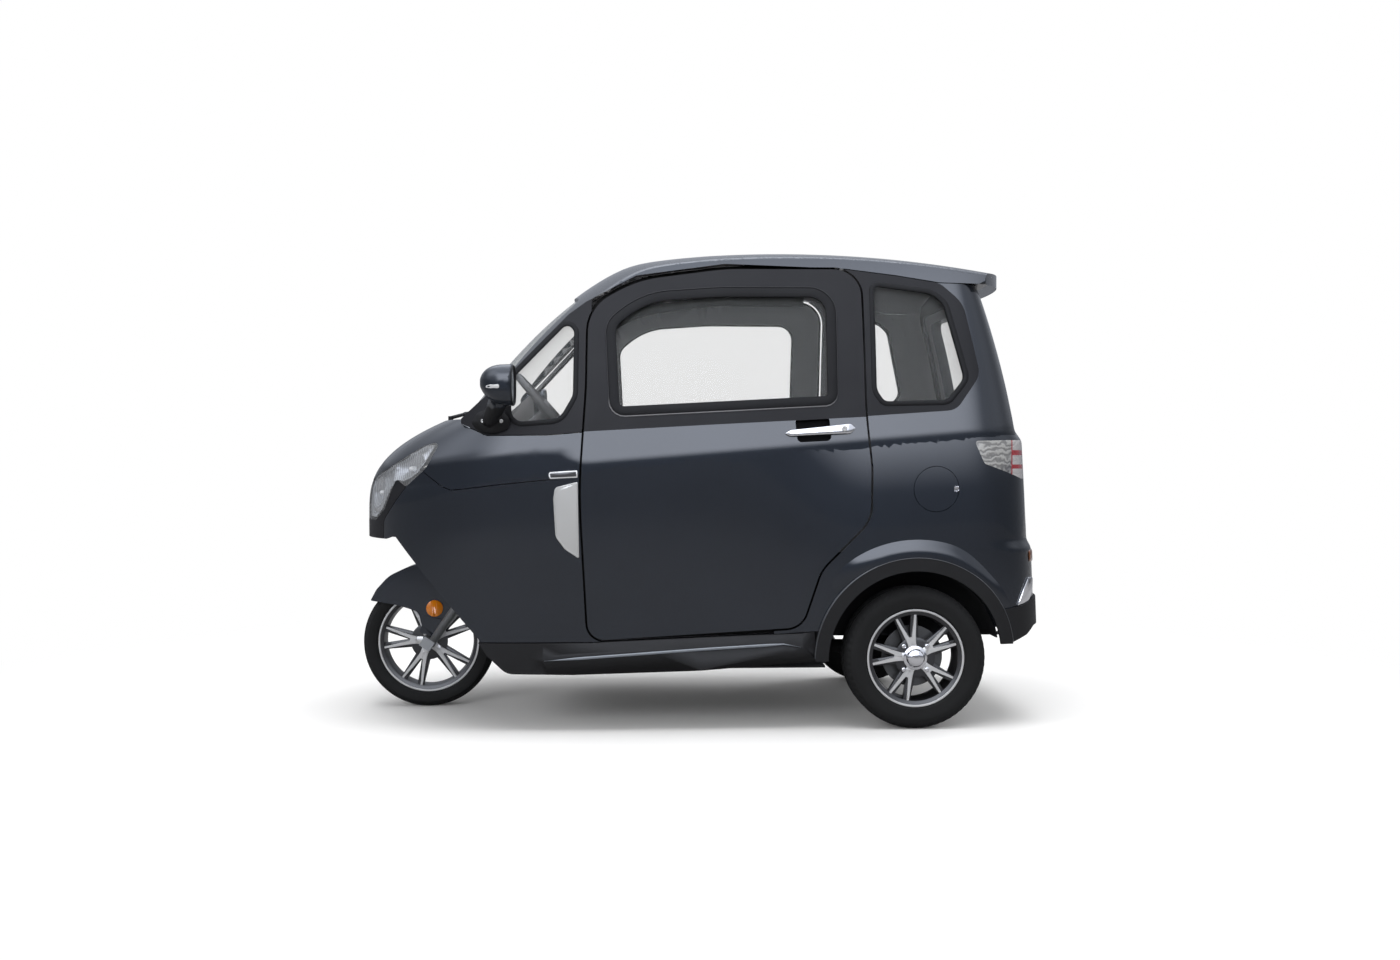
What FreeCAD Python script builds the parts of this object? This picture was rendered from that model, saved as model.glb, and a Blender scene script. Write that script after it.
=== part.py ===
import FreeCAD, Part
import math
import os
from FreeCAD import Vector

# Enclosed three wheeled cabin car, in millimetres.
# While it is drawn, X runs forward from the rear axle, Y to the car's left, Z up from the ground.
# At the end everything moves along X so that the origin is under the middle of the car.

# Chassis layout
wheelbase = 1706.0
tyre_radius = 240.0
rear_overhang = 476.0
rear_track = 942.0
rear_tyre_width = 138.0
front_tyre_width = 112.0

# Front fork: raked steering axis that the wheel stands a little in front of
rake = math.radians(34.0)
fork_offset = 32.0
leg_setback = 14.0
leg_radius = 15.0
leg_y = 81.2
crown_low = 318.0
crown_high = 350.0
stem_radius = 16.0
bearing_gap = 0.05
head_tube_radius = 28.0
head_tube_low = 352.0
head_tube_high = 560.0
front_axle_radius = 9.0
rear_stub_radius = 15.0

# Rims
rear_lip_radius = 165.0
front_lip_radius = 184.0

# Side of the body: widest along a shoulder line that rises to the rear
half_width = 572.0
shoulder_height_front = 871.0
shoulder_front_x = 1117.0
shoulder_rise = 0.085
upper_lean = 0.10
upper_bow = 1.41e-4
lower_tuck = 0.02
lower_bow = 7.7e-5

# Nose and tail in plan
nose_start = 1250.0
nose_tip = 1906.0
nose_tip_height = 723.0
nose_roundness = 2.6
bonnet_sweep = 2.577e-5
bonnet_power = 2.8
screen_plan_tip = 1725.0
tail_start = -100.0
tail_roundness = 4.0
tail_low_x = -442.0
tail_low_height = 624.0
tail_low_lean = 0.07
tail_high_x = -392.0
tail_high_height = 1000.0
tail_high_lean = 0.17
tail_high_bow = 1.7e-4
tail_step_low = 965.0
tail_step_high = 1015.0
spoiler_plan_x = -640.0
spoiler_roundness = 3.0
bonnet_top = 1060.0
cowl_height = 1046.0
tail_flare = 16.0
tail_flare_low = 598.0
tail_flare_high = 642.0

# Roof and windscreen, along the centre line: two arcs blended where they meet
roof_peak_x = 430.0
roof_peak_z = 1662.0
roof_arch = 1.32e-4
screen_foot_x = 1581.0
screen_foot_z = 1046.0
screen_slope = 1.4187
screen_bow = 7.81e-4
header_blend = 10.0
roof_crown_radius = 1700.0
screen_plan_radius = 1700.0
roof_edge_radius = 46.0
spoiler_tip_x = -386.0
spoiler_radius = 880.0
spoiler_depth = 58.0

# Thicknesses and gaps
wall = 40.0
front_wall = 30.0
roof_wall = 30.0
glass = 5.0
door_gap = 7.0
panel_gap = 3.0
glass_gap = 0.3

body_bottom = 190.0
body_top = 1640.0


def shoulder_z(x):
    """Height of the shoulder line at station x."""
    return shoulder_height_front + (shoulder_front_x - x) * shoulder_rise


def side_y(x, z):
    """Half width of the straight part of the body at station x and height z."""
    h = z - shoulder_z(x)
    if h >= 0.0:
        return half_width - upper_lean * h - upper_bow * h * h
    return half_width + lower_tuck * h - lower_bow * h * h


def nose_x(z):
    """Furthest forward point of the nose at height z, falling back up the bonnet."""
    return nose_tip - bonnet_sweep * max(0.0, z - nose_tip_height) ** bonnet_power


def smooth_step(z, low, high):
    """Rises from 0 at the low height to 1 at the high one, with level ends."""
    s = min(1.0, max(0.0, (z - low) / (high - low)))
    return s * s * (3.0 - 2.0 * s)


def tail_x(z):
    """Furthest rearward point of the tail at height z, with the ledge over the lamps."""
    low = tail_low_x + tail_low_lean * (z - tail_low_height)
    low -= tail_flare * (1.0 - smooth_step(z, tail_flare_low, tail_flare_high))
    d = z - tail_high_height
    high = tail_high_x + tail_high_lean * d + tail_high_bow * d * d
    return low + (high - low) * smooth_step(z, tail_step_low, tail_step_high)


def top_z(x, y):
    """Height of the roof and windscreen over a point in plan."""
    along = x + y * y / (2.0 * screen_plan_radius)
    roof = roof_peak_z - roof_arch * (along - roof_peak_x) ** 2
    back = min(screen_foot_x - along, screen_slope / (2.0 * screen_bow))
    screen = screen_foot_z + screen_slope * back - screen_bow * back * back
    blend = math.hypot((roof - screen) / 2.0, header_blend)
    return (roof + screen) / 2.0 - blend - y * y / (2.0 * roof_crown_radius)


def spaced(low, high, count):
    """Evenly spaced values from low to high."""
    return [low + (high - low) * i / (count - 1) for i in range(count)]


def surface(rows):
    """Smooth face through a grid of points, whose first and last rows stay exactly level."""
    patch = Part.BSplineSurface()
    patch.interpolate(rows)
    for i in range(1, patch.NbUPoles + 1):
        for j in range(1, patch.NbVPoles + 1):
            p = patch.getPole(i, j)
            if abs(p.y) < 1e-3:
                p.y = 0.0
            for row in (0, -1):
                if abs(p.z - rows[row][0].z) < 1e-3:
                    p.z = rows[row][0].z
            for column in (0, -1):
                if abs(p.x - rows[0][column].x) < 1e-3:
                    p.x = rows[0][column].x
            patch.setPole(i, j, p)
    return patch.toShape()


def box(x0, x1, y0, y1, z0, z1):
    """Box between two opposite corners."""
    return Part.makeBox(x1 - x0, y1 - y0, z1 - z0, Vector(x0, y0, z0))


def rounded_wire(points, place):
    """Closed wire of straight runs whose corners, given as (a, b, radius), are arcs."""
    count = len(points)
    trims = []
    for i in range(count):
        px, pz, _ = points[i - 1]
        cx, cz, radius = points[i]
        nx, nz, _ = points[(i + 1) % count]
        before = Vector(px - cx, pz - cz, 0)
        after = Vector(nx - cx, nz - cz, 0)
        corner = Vector(cx, cz, 0)
        angle = before.getAngle(after)
        before.normalize()
        after.normalize()
        if radius <= 0.0 or abs(angle - math.pi) < 1e-4:
            trims.append((corner, corner, corner))
            continue
        cut = radius / math.tan(angle / 2.0)
        middle = (before + after).normalize()
        reach = radius / math.sin(angle / 2.0) - radius
        trims.append((corner + before * cut, corner + middle * reach, corner + after * cut))
    edges = []
    for i in range(count):
        start, middle, end = trims[i]
        following = trims[(i + 1) % count][0]
        if start.distanceToPoint(end) > 1e-3:
            edges.append(Part.Arc(place(start), place(middle), place(end)).toShape())
        if end.distanceToPoint(following) > 1e-3:
            edges.append(Part.LineSegment(place(end), place(following)).toShape())
    return Part.Wire(edges)


def side_prism(points, y0, y1):
    """Solid whose outline is drawn in side view, as (x, z, corner radius)."""
    wire = rounded_wire(points, lambda p: Vector(p.x, y0, p.y))
    return Part.Face(wire).extrude(Vector(0, y1 - y0, 0))


def rear_prism(points, x0, x1):
    """Solid whose outline is drawn in rear view, as (y, z, corner radius)."""
    wire = rounded_wire(points, lambda p: Vector(x0, p.x, p.y))
    return Part.Face(wire).extrude(Vector(x1 - x0, 0, 0))


def grown(points, amount):
    """The same rounded outline, moved outwards by an amount, or inwards if it is negative."""
    wire = rounded_wire(points, lambda p: Vector(p.x, p.y, 0))
    return wire.makeOffset2D(amount)


def grown_side_prism(points, amount, y0, y1):
    """Side view prism of an outline that is moved outwards by an amount."""
    face = Part.Face(grown(points, amount))
    face.rotate(Vector(0, 0, 0), Vector(1, 0, 0), 90)
    face.translate(Vector(0, y0, 0))
    return face.extrude(Vector(0, y1 - y0, 0))


def grown_rear_prism(points, amount, x0, x1):
    """Rear view prism of an outline that is moved outwards by an amount."""
    face = Part.Face(grown(points, amount))
    face.rotate(Vector(0, 0, 0), Vector(1, 1, 1), 120)
    face.translate(Vector(x0, 0, 0))
    return face.extrude(Vector(x1 - x0, 0, 0))


def mirrored(shape):
    """The same shape on the other side of the car."""
    return shape.mirror(Vector(0, 0, 0), Vector(0, 1, 0))


def both(shape):
    """A shape and its mirror image, which do not touch."""
    return Part.makeCompound([shape, mirrored(shape)])


def joined(shape):
    """A half shape fused with its mirror image over the centre plane."""
    return shape.fuse(mirrored(shape))


def nose_factor(x, tip):
    """Share of the side's width that is left at station x, for a nose that ends at tip."""
    if x <= nose_start:
        return 1.0
    u = min(1.0, (x - nose_start) / (tip - nose_start))
    return (1.0 - u ** nose_roundness) ** (1.0 / nose_roundness)


def upper_y(x, z):
    """Half width above the belt, drawn in towards the windscreen and over the tail."""
    y = side_y(x, z) * nose_factor(x, screen_plan_tip)
    if x < tail_start:
        v = (tail_start - x) / (tail_start - spoiler_plan_x)
        y *= (1.0 - v ** spoiler_roundness) ** (1.0 / spoiler_roundness)
    return y


def round_corner(roundness, count):
    """Points of a quarter of a rounded square, from its end (1, 0) to its side (0, 1)."""
    points = []
    for i in range(count + 1):
        angle = i / count * math.pi / 2.0
        end = math.cos(angle) if i < count else 0.0
        side = math.sin(angle)
        reach = (end ** roundness + side ** roundness) ** (-1.0 / roundness)
        points.append((end * reach, side * reach))
    return points


def tail_hull(inset):
    """Left half of the body behind the bonnet, out to its side surface less an inset."""
    heights = spaced(body_bottom, 560.0, 6) + spaced(tail_flare_low - 14, tail_flare_high + 14, 7)
    heights += spaced(700.0, 930.0, 4) + spaced(tail_step_low - 14, tail_step_high + 14, 8)
    heights += spaced(1080.0, body_top, 8)
    rows = []
    for z in heights:
        row = []
        depth = tail_start - (tail_x(z) + inset)
        for back, out in round_corner(tail_roundness, 12)[:-1]:
            x = tail_start - depth * back
            row.append(Vector(x, (side_y(x, z) - inset) * out, z))
        for x in spaced(tail_start, nose_start + 50.0, 14):
            row.append(Vector(x, side_y(x, z) - inset, z))
        rows.append(row)
    return closed_half(surface(rows))


def nose_hull(inset):
    """Left half of the body in front of the doors, below the windscreen."""
    rows = []
    for z in spaced(body_bottom, 700.0, 6) + spaced(740.0, bonnet_top, 11):
        row = []
        for x in spaced(900.0, nose_start, 7)[:-1]:
            row.append(Vector(x, side_y(x, z) - inset, z))
        depth = nose_x(z) - inset - nose_start
        for forward, out in reversed(round_corner(nose_roundness, 18)):
            x = nose_start + depth * forward
            row.append(Vector(x, (side_y(x, z) - inset) * out, z))
        rows.append(row)
    return closed_half(surface(rows))


def closed_half(side):
    """Solid between a side surface and the centre plane of the car."""
    low_z = min(v.Point.z for v in side.Vertexes)
    ends = {}
    for edge in side.Edges:
        a, b = (v.Point for v in edge.Vertexes)
        if abs(a.z - b.z) < 1e-3:
            ends["bottom" if abs(a.z - low_z) < 1e-3 else "top"] = edge
        elif abs(a.y) + abs(b.y) < 1e-3:
            ends["centre"] = edge
        else:
            ends["open"] = edge
    faces = [side]
    open_low, open_high = sorted((v.Point for v in ends["open"].Vertexes), key=lambda p: p.z)
    in_low, in_high = sorted((v.Point for v in ends["centre"].Vertexes), key=lambda p: p.z)
    foot = Vector(open_low.x, 0, open_low.z)
    head = Vector(open_high.x, 0, open_high.z)
    for edge, corners in (
        (ends["bottom"], (open_low, foot, in_low)),
        (ends["top"], (open_high, head, in_high)),
        (ends["centre"], (in_high, head, foot, in_low)),
        (ends["open"], (open_high, head, foot, open_low)),
    ):
        lines = [Part.LineSegment(a, b).toShape() for a, b in zip(corners, corners[1:])]
        faces.append(Part.Face(Part.Wire(Part.__sortEdges__([edge] + lines))))
    shell = Part.Shell(faces)
    shell.sewShape()
    solid = Part.Solid(shell)
    if solid.Volume < 0:
        solid.reverse()
    return solid


def side_sheet(depth, start=0.0, x0=80.0, x1=1300.0):
    """Sheet that follows the flat part of the side, from start to depth behind the surface."""
    rows = []
    for z in spaced(body_bottom, body_top, 16):
        rows.append([Vector(x, side_y(x, z) - start, z) for x in spaced(x0, x1, 8)])
    return surface(rows).extrude(Vector(0, start - depth, 0))


def upper_sheet(depth, start=0.0, x0=-430.0, x1=1640.0):
    """Sheet that follows the side above the belt, from start to depth behind the surface."""
    stations = spaced(x0, nose_start, 12) + spaced(nose_start + 40.0, x1, 9)
    rows = []
    for z in spaced(940.0, 1720.0, 12):
        rows.append([Vector(x, upper_y(x, z) - start, z) for x in stations])
    return surface(rows).extrude(Vector(0, start - depth, 0))


def under_roof(drop, depth=900.0):
    """Everything below the roof and windscreen, lowered by a drop."""
    rows = []
    for y in spaced(-620.0, 620.0, 15):
        rows.append([Vector(x, y, top_z(x, y) - drop) for x in spaced(-500.0, 1680.0, 44)])
    return surface(rows).extrude(Vector(0, 0, -depth))


def cabin_top(inset, drop, radius):
    """Left half of the cabin above the belt, with its roof edge rounded."""
    block = upper_sheet(760.0, inset).common(under_roof(drop)).common(box(-500, 1700, 0, 760, 960, 1800))
    edges = []
    for edge in block.Edges:
        b = edge.BoundBox
        if b.YMin > 200.0 and b.XLength > 1000.0 and b.ZLength > 100.0:
            edges.append(edge)
    return block.makeFillet(radius, edges)


# Outlines in side view: x, z and the radius of each corner
door_outline = [
    (1103, 303, 60), (1129, 800, 1800), (1107, 1150, 900), (1104, 1424, 150), (935, 1519, 400),
    (640, 1560, 900), (177, 1560, 95), (175, 1050, 1500), (156, 880, 300), (156, 708, 120),
    (322, 540, 130), (386, 344, 75),
]
door_window = [
    (1000, 1081, 22), (1014, 1360, 60), (905, 1446, 260), (650, 1464, 900), (296, 1464, 62), (298, 1118, 14),
]
rear_frame = [
    (300, 1556, 0), (230, 1556, 0), (60, 1534, 0), (-90, 1509, 60), (-165, 1440, 110), (-213, 1195, 70),
    (-128, 1075, 60), (300, 1046, 0),
]
rear_window = [
    (142, 1505, 22), (-60, 1478, 75), (-104, 1440, 60), (-166, 1182, 45), (-102, 1103, 40), (116, 1098, 30),
    (144, 1140, 60),
]
front_window = [
    (1168, 1378, 26), (1142, 1340, 20), (1144, 1120, 60), (1190, 1039, 60), (1356, 1026, 45), (1366, 1170, 60),
]
rail_line = [
    (1524, 1046), (1366, 1187), (1167, 1396), (1109, 1440), (940, 1530), (640, 1572), (230, 1556), (60, 1534),
]
belt_line = [(1524, 1030), (1433, 990), (1236, 991), (1107, 1002), (729, 1023), (60, 1058)]
lower_front_edge = [(2400, 640), (1790, 640), (1755, 652), (1362, 196)]
bonnet_gap = [(2000, 760), (1700, 905), (1582, 820), (1548, 808), (1388, 827), (1060, 860)]
headlamp_outline = [
    (1592, 973, 12), (1640, 880, 80), (1712, 818, 14), (1750, 846, 10), (1796, 742, 30), (1838, 702, 0),
    (1990, 702, 0), (1990, 790, 0), (1800, 874, 60), (1655, 955, 60),
]
chin_outline = [
    (1712, 818, 0), (1752, 770, 60), (1801, 704, 40), (1804, 560, 0), (1990, 560, 0), (1990, 760, 0), (1800, 840, 0),
    (1735, 860, 0),
]
nose_centre_half = 158.0
nose_centre_top = 955.0
chin_z = 640.0
tail_lamp_outline = [(-187, 972, 8), (-700, 984, 0), (-700, 838, 0), (-369, 845, 0), (-222, 896, 20)]
tail_lamp_inner_y = 345.0
hatch_outline = [
    (345, 1497, 50), (402, 1066, 60), (333, 1000, 30), (325, 642, 40),
    (-325, 642, 40), (-333, 1000, 30), (-402, 1066, 60), (-345, 1497, 50),
]
hatch_window = [(300, 1452, 45), (352, 1085, 60), (-352, 1085, 60), (-300, 1452, 45)]
windscreen_outline = [(455, -40, 60), (352, 610, 70), (-352, 610, 70), (-455, -40, 60)]
windscreen_rake = 48.0
sill_line = [(1500, 304), (1086, 303), (386, 330), (260, 345)]
arch_centre_z = 240.0
arch_radius = 296.0
arch_trim_radius = 340.0
flap_centre = (-60.0, 811.0)
flap_radius = 75.0
flap_thickness = 5.0
flap_depth = 26.0
inlet_radius = 34.0
rear_side_foot = [
    (600, 318), (386, 331), (341, 334), (0, 300), (-262, 300), (-300, 400), (-430, 434), (-700, 434),
]
tail_panel_half = 340.0
tail_panel_top = 639.0


def above(line, margin, y0=-900.0, y1=900.0, height=2400.0):
    """Everything above a line drawn in side view, raised by a margin."""
    points = [(x, z + margin, 0) for x, z in line]
    points += [(line[-1][0], height, 0), (line[0][0], height, 0)]
    return side_prism(points, y0, y1)


def below(line, margin, depth=-200.0, y0=-900.0, y1=900.0):
    """Everything below a line drawn in side view, lowered by a margin."""
    points = [(x, z - margin, 0) for x, z in line]
    points += [(line[-1][0], depth, 0), (line[0][0], depth, 0)]
    return side_prism(points, y0, y1)


def disc(radius, x, z, y0, y1):
    """Cylinder along Y."""
    return Part.makeCylinder(radius, y1 - y0, Vector(x, y0, z), Vector(0, 1, 0))


def rod(radius, a, b):
    """Round bar between two points."""
    a, b = Vector(*a), Vector(*b)
    return Part.makeCylinder(radius, (b - a).Length, a, b - a)


mirror_y = 690.0
mirror_roundness = 3.0

half_gap = panel_gap / 2.0
half_door_gap = door_gap / 2.0
door_step = 12.0
seal_thickness = 9.0
seal_reach = 12.0

nodes = {}

# Body shells that the panels are cut from
tail_outer = tail_hull(0.0)
tail_wall = tail_outer.cut(tail_hull(wall))
nose_wall = nose_hull(0.0).cut(nose_hull(front_wall))
cabin_shell = cabin_top(0.0, 0.0, roof_edge_radius).cut(cabin_top(wall, roof_wall, roof_edge_radius / 2.0))
door_hole = grown_side_prism(door_outline, half_door_gap, 0, 900)


# Doors: a painted shell with a black window frame above the belt
def door_solid():
    """Left door, with its inner part stepped in so that it clears the frame as it opens."""
    outer = side_sheet(door_step).common(grown_side_prism(door_outline, -half_door_gap, 0, 900))
    inner = side_sheet(wall, door_step).common(grown_side_prism(door_outline, -half_door_gap - door_step, 0, 900))
    return outer.fuse(inner)


door_blank = door_solid()
window_hole = side_prism(door_window, 0, 900)
door_left = door_blank.common(below(belt_line, 0.0)).cut(window_hole)
door_frame_left = door_blank.common(above(belt_line, 0.0)).cut(window_hole)
pane_sheet = side_sheet(wall / 2.0 + glass / 2.0, wall / 2.0 - glass / 2.0)
door_glass_left = pane_sheet.common(grown_side_prism(door_window, -glass_gap, 0, 900))
handle_pocket = side_prism([(414, 1047, 16), (300, 1054, 16), (292, 972, 16), (406, 966, 16)], 0, 900)
pocket_floor = side_sheet(wall, 22.0)
door_left = door_left.cut(handle_pocket.cut(pocket_floor))
handle_bar = side_prism([(440, 1016, 9), (220, 1028, 9), (218, 997, 9), (438, 986, 9)], 0, 900)
bar_y = side_y(330.0, 1007.0)
door_handle_left = handle_bar.common(side_sheet(-8.0, -20.0))
for post_x in (418.0, 240.0):
    door_handle_left = door_handle_left.fuse(
        disc(9.0, post_x, 1007.0 - (post_x - 330.0) * 0.055, bar_y - 24.0, bar_y + 10.0))
door_handle_left = door_handle_left.cut(door_left)
nodes["door_left"] = door_left
nodes["door_frame_left"] = door_frame_left
nodes["door_glass_left"] = door_glass_left
nodes["door_handle_left"] = door_handle_left
for name in ("door", "door_frame", "door_glass", "door_handle"):
    nodes[name + "_right"] = mirrored(nodes[name + "_left"])

# Rear quarter panels, with the wheel arch, the lamp openings and the window frame cut out
frame_hole = grown_side_prism(rear_frame, glass_gap, 0, 900)
arch_hole = disc(arch_radius, 0, arch_centre_z, 0, 900)
rear_side = tail_wall.cut(box(480.0, 2400, 0, 900, -100, 2400)).cut(door_hole)
rear_side = rear_side.cut(frame_hole).cut(arch_hole)
rear_side = rear_side.cut(above([(600, 1556), (230, 1556), (60, 1534), (-90, 1509), (-500, 1497)], 0.0))
rear_side = rear_side.common(above(rear_side_foot, 0.0))
rear_side = rear_side.cut(grown_rear_prism(hatch_outline, half_door_gap, -900, -150))
tail_lamp = rear_side.common(side_prism(tail_lamp_outline, tail_lamp_inner_y + glass_gap, 900))
rear_side = rear_side.cut(side_prism(tail_lamp_outline, tail_lamp_inner_y, 900))
tail_panel = rear_side.common(box(-900, -150, 0, tail_panel_half, 0, tail_panel_top))
rear_side = rear_side.cut(box(-900, -150, 0, tail_panel_half + half_gap, 0, tail_panel_top + half_gap))
flap_x, flap_z = flap_centre
flap_skin = side_sheet(flap_thickness, 0.0, -300.0, 500.0)
flap_recess = disc(flap_radius + 2.0, flap_x, flap_z, side_y(flap_x, flap_z) - flap_depth, 900)
nodes["rear_side_left"] = rear_side.cut(flap_recess)
nodes["rear_side_right"] = mirrored(rear_side)
nodes["tail_panel"] = joined(tail_panel)
nodes["charge_flap"] = flap_skin.common(disc(flap_radius, flap_x, flap_z, 0, 900))
inlet = disc(inlet_radius, flap_x, flap_z, side_y(flap_x, flap_z) - flap_depth, 900)
nodes["charge_inlet"] = inlet.common(side_sheet(wall, flap_thickness + glass_gap, -300.0, 500.0))
nodes["tail_lamps"] = both(tail_lamp)

# Hatch, hinged under the roof's rear edge
tail_full = joined(tail_wall)
hatch_blank = tail_full.common(grown_rear_prism(hatch_outline, -half_door_gap, -900, -150))
nodes["hatch"] = hatch_blank.cut(rear_prism(hatch_window, -900, -150))
tail_pane = tail_hull(wall / 2.0 - glass / 2.0).cut(tail_hull(wall / 2.0 + glass / 2.0))
nodes["hatch_glass"] = joined(tail_pane).common(grown_rear_prism(hatch_window, -glass_gap, -900, -150))

# Black frames and panes of the side windows
frame_sheet = upper_sheet(wall)
rear_frame_left = tail_wall.common(side_prism(rear_frame, 0, 900)).cut(door_hole)
rear_frame_left = rear_frame_left.cut(side_prism(rear_window, 0, 900))
front_frame_left = frame_sheet.common(above(belt_line, 0.0)).cut(door_hole)
front_frame_left = front_frame_left.common(below(rail_line, 0.0)).common(box(1090, 1700, 0, 900, 900, 1500))
front_frame_left = front_frame_left.cut(side_prism(front_window, 0, 900))
nodes["window_frames"] = Part.makeCompound([
    rear_frame_left, front_frame_left, mirrored(rear_frame_left), mirrored(front_frame_left)])
pane_upper = upper_sheet(wall / 2.0 + glass / 2.0, wall / 2.0 - glass / 2.0)
front_pane = pane_upper.common(grown_side_prism(front_window, -glass_gap, 0, 900))
rear_pane = tail_pane.common(grown_side_prism(rear_window, -glass_gap, 0, 900))
nodes["quarter_glass"] = Part.makeCompound([front_pane, rear_pane, mirrored(front_pane), mirrored(rear_pane)])


# Roof with its pillars, spoiler and windscreen
def screen_prism(amount):
    """Windscreen outline, grown by an amount and swept square to the glass."""
    lean = math.radians(windscreen_rake)
    face = Part.Face(grown(windscreen_outline, amount))
    face.rotate(Vector(0, 0, 0), Vector(0, 0, 1), 90)
    face.rotate(Vector(0, 0, 0), Vector(0, 1, 0), windscreen_rake)
    across = Vector(math.sin(lean), 0, math.cos(lean))
    face.translate(Vector(screen_foot_x, 0, screen_foot_z) - across * 200.0)
    return face.extrude(across * 420.0)


roof_line = rail_line + [(-90, 1509), (-500, 1497)]
roof = cabin_shell.common(above(roof_line, panel_gap)).cut(door_hole)
roof = roof.cut(box(1527.0, 2400, -900, 900, 0, 2400))
roof = roof.cut(box(-900.0, -225.0, -900, 900, 0, 2400))
tail_block = side_prism([
    (-225, 1508.1, 0), (-262, 1507, 0), (-440, 1540, 0), (-440, 1700, 0), (-225, 1700, 0),
], 0, 900)
tail_block = cabin_top(0.0, 0.0, roof_edge_radius).common(tail_block)
spoiler_centre = Vector(spoiler_tip_x + spoiler_radius, 0, 1400)
spoiler_reach = Part.makeCylinder(spoiler_radius, 400.0, spoiler_centre)
roof_reach = Part.makeCylinder(spoiler_radius - spoiler_depth, 400.0, spoiler_centre)
joint_reach = Part.makeCylinder(spoiler_radius - spoiler_depth + glass_gap, 400.0, spoiler_centre)
nodes["roof"] = joined(roof.fuse(tail_block.common(roof_reach))).cut(screen_prism(0.0))
nodes["spoiler"] = joined(tail_block.common(spoiler_reach).cut(joint_reach))
screen_sheet = under_roof(roof_wall / 2.0 - glass / 2.0).cut(under_roof(roof_wall / 2.0 + glass / 2.0, 1000.0))
screen_space = box(900, 1700, -900, 900, cowl_height + glass_gap, 1700)
nodes["windscreen"] = screen_sheet.common(screen_prism(-glass_gap)).common(screen_space)

# Bonnet, front side panels, the black centre of the nose and the headlamps
nose_region = box(1060.0, 2400, 0, 900, 0, cowl_height)
front_shell = nose_wall.common(nose_region).cut(door_hole)
front_shell = front_shell.cut(below(lower_front_edge, 0.0, -3000.0))
front_shell = front_shell.cut(below(sill_line, 0.0))
headlamp_hole_y = nose_centre_half + half_gap
headlamp = front_shell.common(side_prism(headlamp_outline, headlamp_hole_y + glass_gap, 900))
headlamp_hole = grown_side_prism(headlamp_outline, glass_gap, headlamp_hole_y, 900)
centre_block = box(1500, 2400, 0, nose_centre_half, chin_z, nose_centre_top)
nose_centre = front_shell.common(centre_block.fuse(side_prism(chin_outline, 0, 900))).cut(headlamp_hole)
centre_hole = box(1500, 2400, 0, headlamp_hole_y, chin_z - 60, nose_centre_top + half_gap)
front_shell = front_shell.cut(headlamp_hole).cut(centre_hole).cut(grown_side_prism(chin_outline, half_gap, 0, 900))
front_shell = front_shell.cut(above(belt_line, -panel_gap).common(box(1060, 1524, 0, 900, 900, 1100)))
bonnet = front_shell.common(above(bonnet_gap, half_gap))
front_side = front_shell.common(below(bonnet_gap, half_gap))
cowl = box(1440.0, 1700.0, 0, 900, cowl_height - front_wall, cowl_height).common(nose_hull(front_wall))
bonnet = bonnet.fuse(cowl).cut(front_frame_left)
nodes["bonnet"] = joined(bonnet)
nodes["front_side_left"] = front_side
nodes["front_side_right"] = mirrored(front_side)
nodes["nose_centre"] = joined(nose_centre)
nodes["headlamps"] = both(headlamp)


# Rubber seals that the doors and the hatch close on, on the inner side of the walls
seal_sheet = side_sheet(wall + seal_thickness, wall + glass_gap)
door_seal = seal_sheet.common(grown_side_prism(door_outline, seal_reach, 0, 900))
door_seal = door_seal.cut(grown_side_prism(door_outline, -seal_reach - door_step, 0, 900))
door_seal = door_seal.cut(roof).common(above(sill_line, 0.0))
hatch_seal = tail_hull(wall + glass_gap).cut(tail_hull(wall + seal_thickness))
hatch_seal = hatch_seal.common(grown_rear_prism(hatch_outline, seal_reach, -900, -150))
hatch_seal = joined(hatch_seal.cut(grown_rear_prism(hatch_outline, -seal_reach, -900, -150)).cut(roof))
nodes["opening_seals"] = Part.makeCompound([door_seal, mirrored(door_seal), hatch_seal])

# Black trim low on the body: bumper, arch trims, wheel housings and sills
bumper_shell = tail_hull(-8.0).cut(tail_hull(26.0))
bumper_outline = [
    (-262, 284, 6), (-268, 392, 20), (-295, 402, 10), (-360, 411, 60), (-430, 434, 0), (-700, 440, 0),
    (-700, 345, 0), (-430, 340, 20), (-395, 312, 30), (-330, 286, 60),
]
bumper = bumper_shell.common(side_prism(bumper_outline, 0, 900)).cut(box(-900, -rear_overhang, 0, 900, 0, 900))
bumper = bumper.cut(disc(arch_trim_radius + 1.0, 0, arch_centre_z, 0, 900)).cut(rear_side).cut(tail_panel)
nodes["rear_bumper"] = joined(bumper)

trim_ring = disc(arch_trim_radius, 0, arch_centre_z, 380, 900).cut(disc(arch_radius, 0, arch_centre_z, 380, 900))
trim_ring = trim_ring.cut(box(-900, 0, 0, 900, 0, 285)).cut(box(0, 900, 0, 900, 0, 232))
arch_trim = tail_hull(-14.0).cut(tail_hull(-glass_gap)).common(trim_ring)
nodes["arch_trims"] = both(arch_trim)

housing_inner_y = 388.0
housing_skin = 6.0
housing_outer_radius = arch_radius + housing_skin
housing = disc(housing_outer_radius, 0, arch_centre_z, housing_inner_y, 600.0)
housing = housing.cut(disc(arch_radius, 0, arch_centre_z, housing_inner_y + housing_skin, 600.0))
housing = housing.cut(box(-900, 900, 0, 900, -200, 300)).common(tail_hull(wall + glass_gap))
nodes["wheel_housings"] = both(housing)

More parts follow.
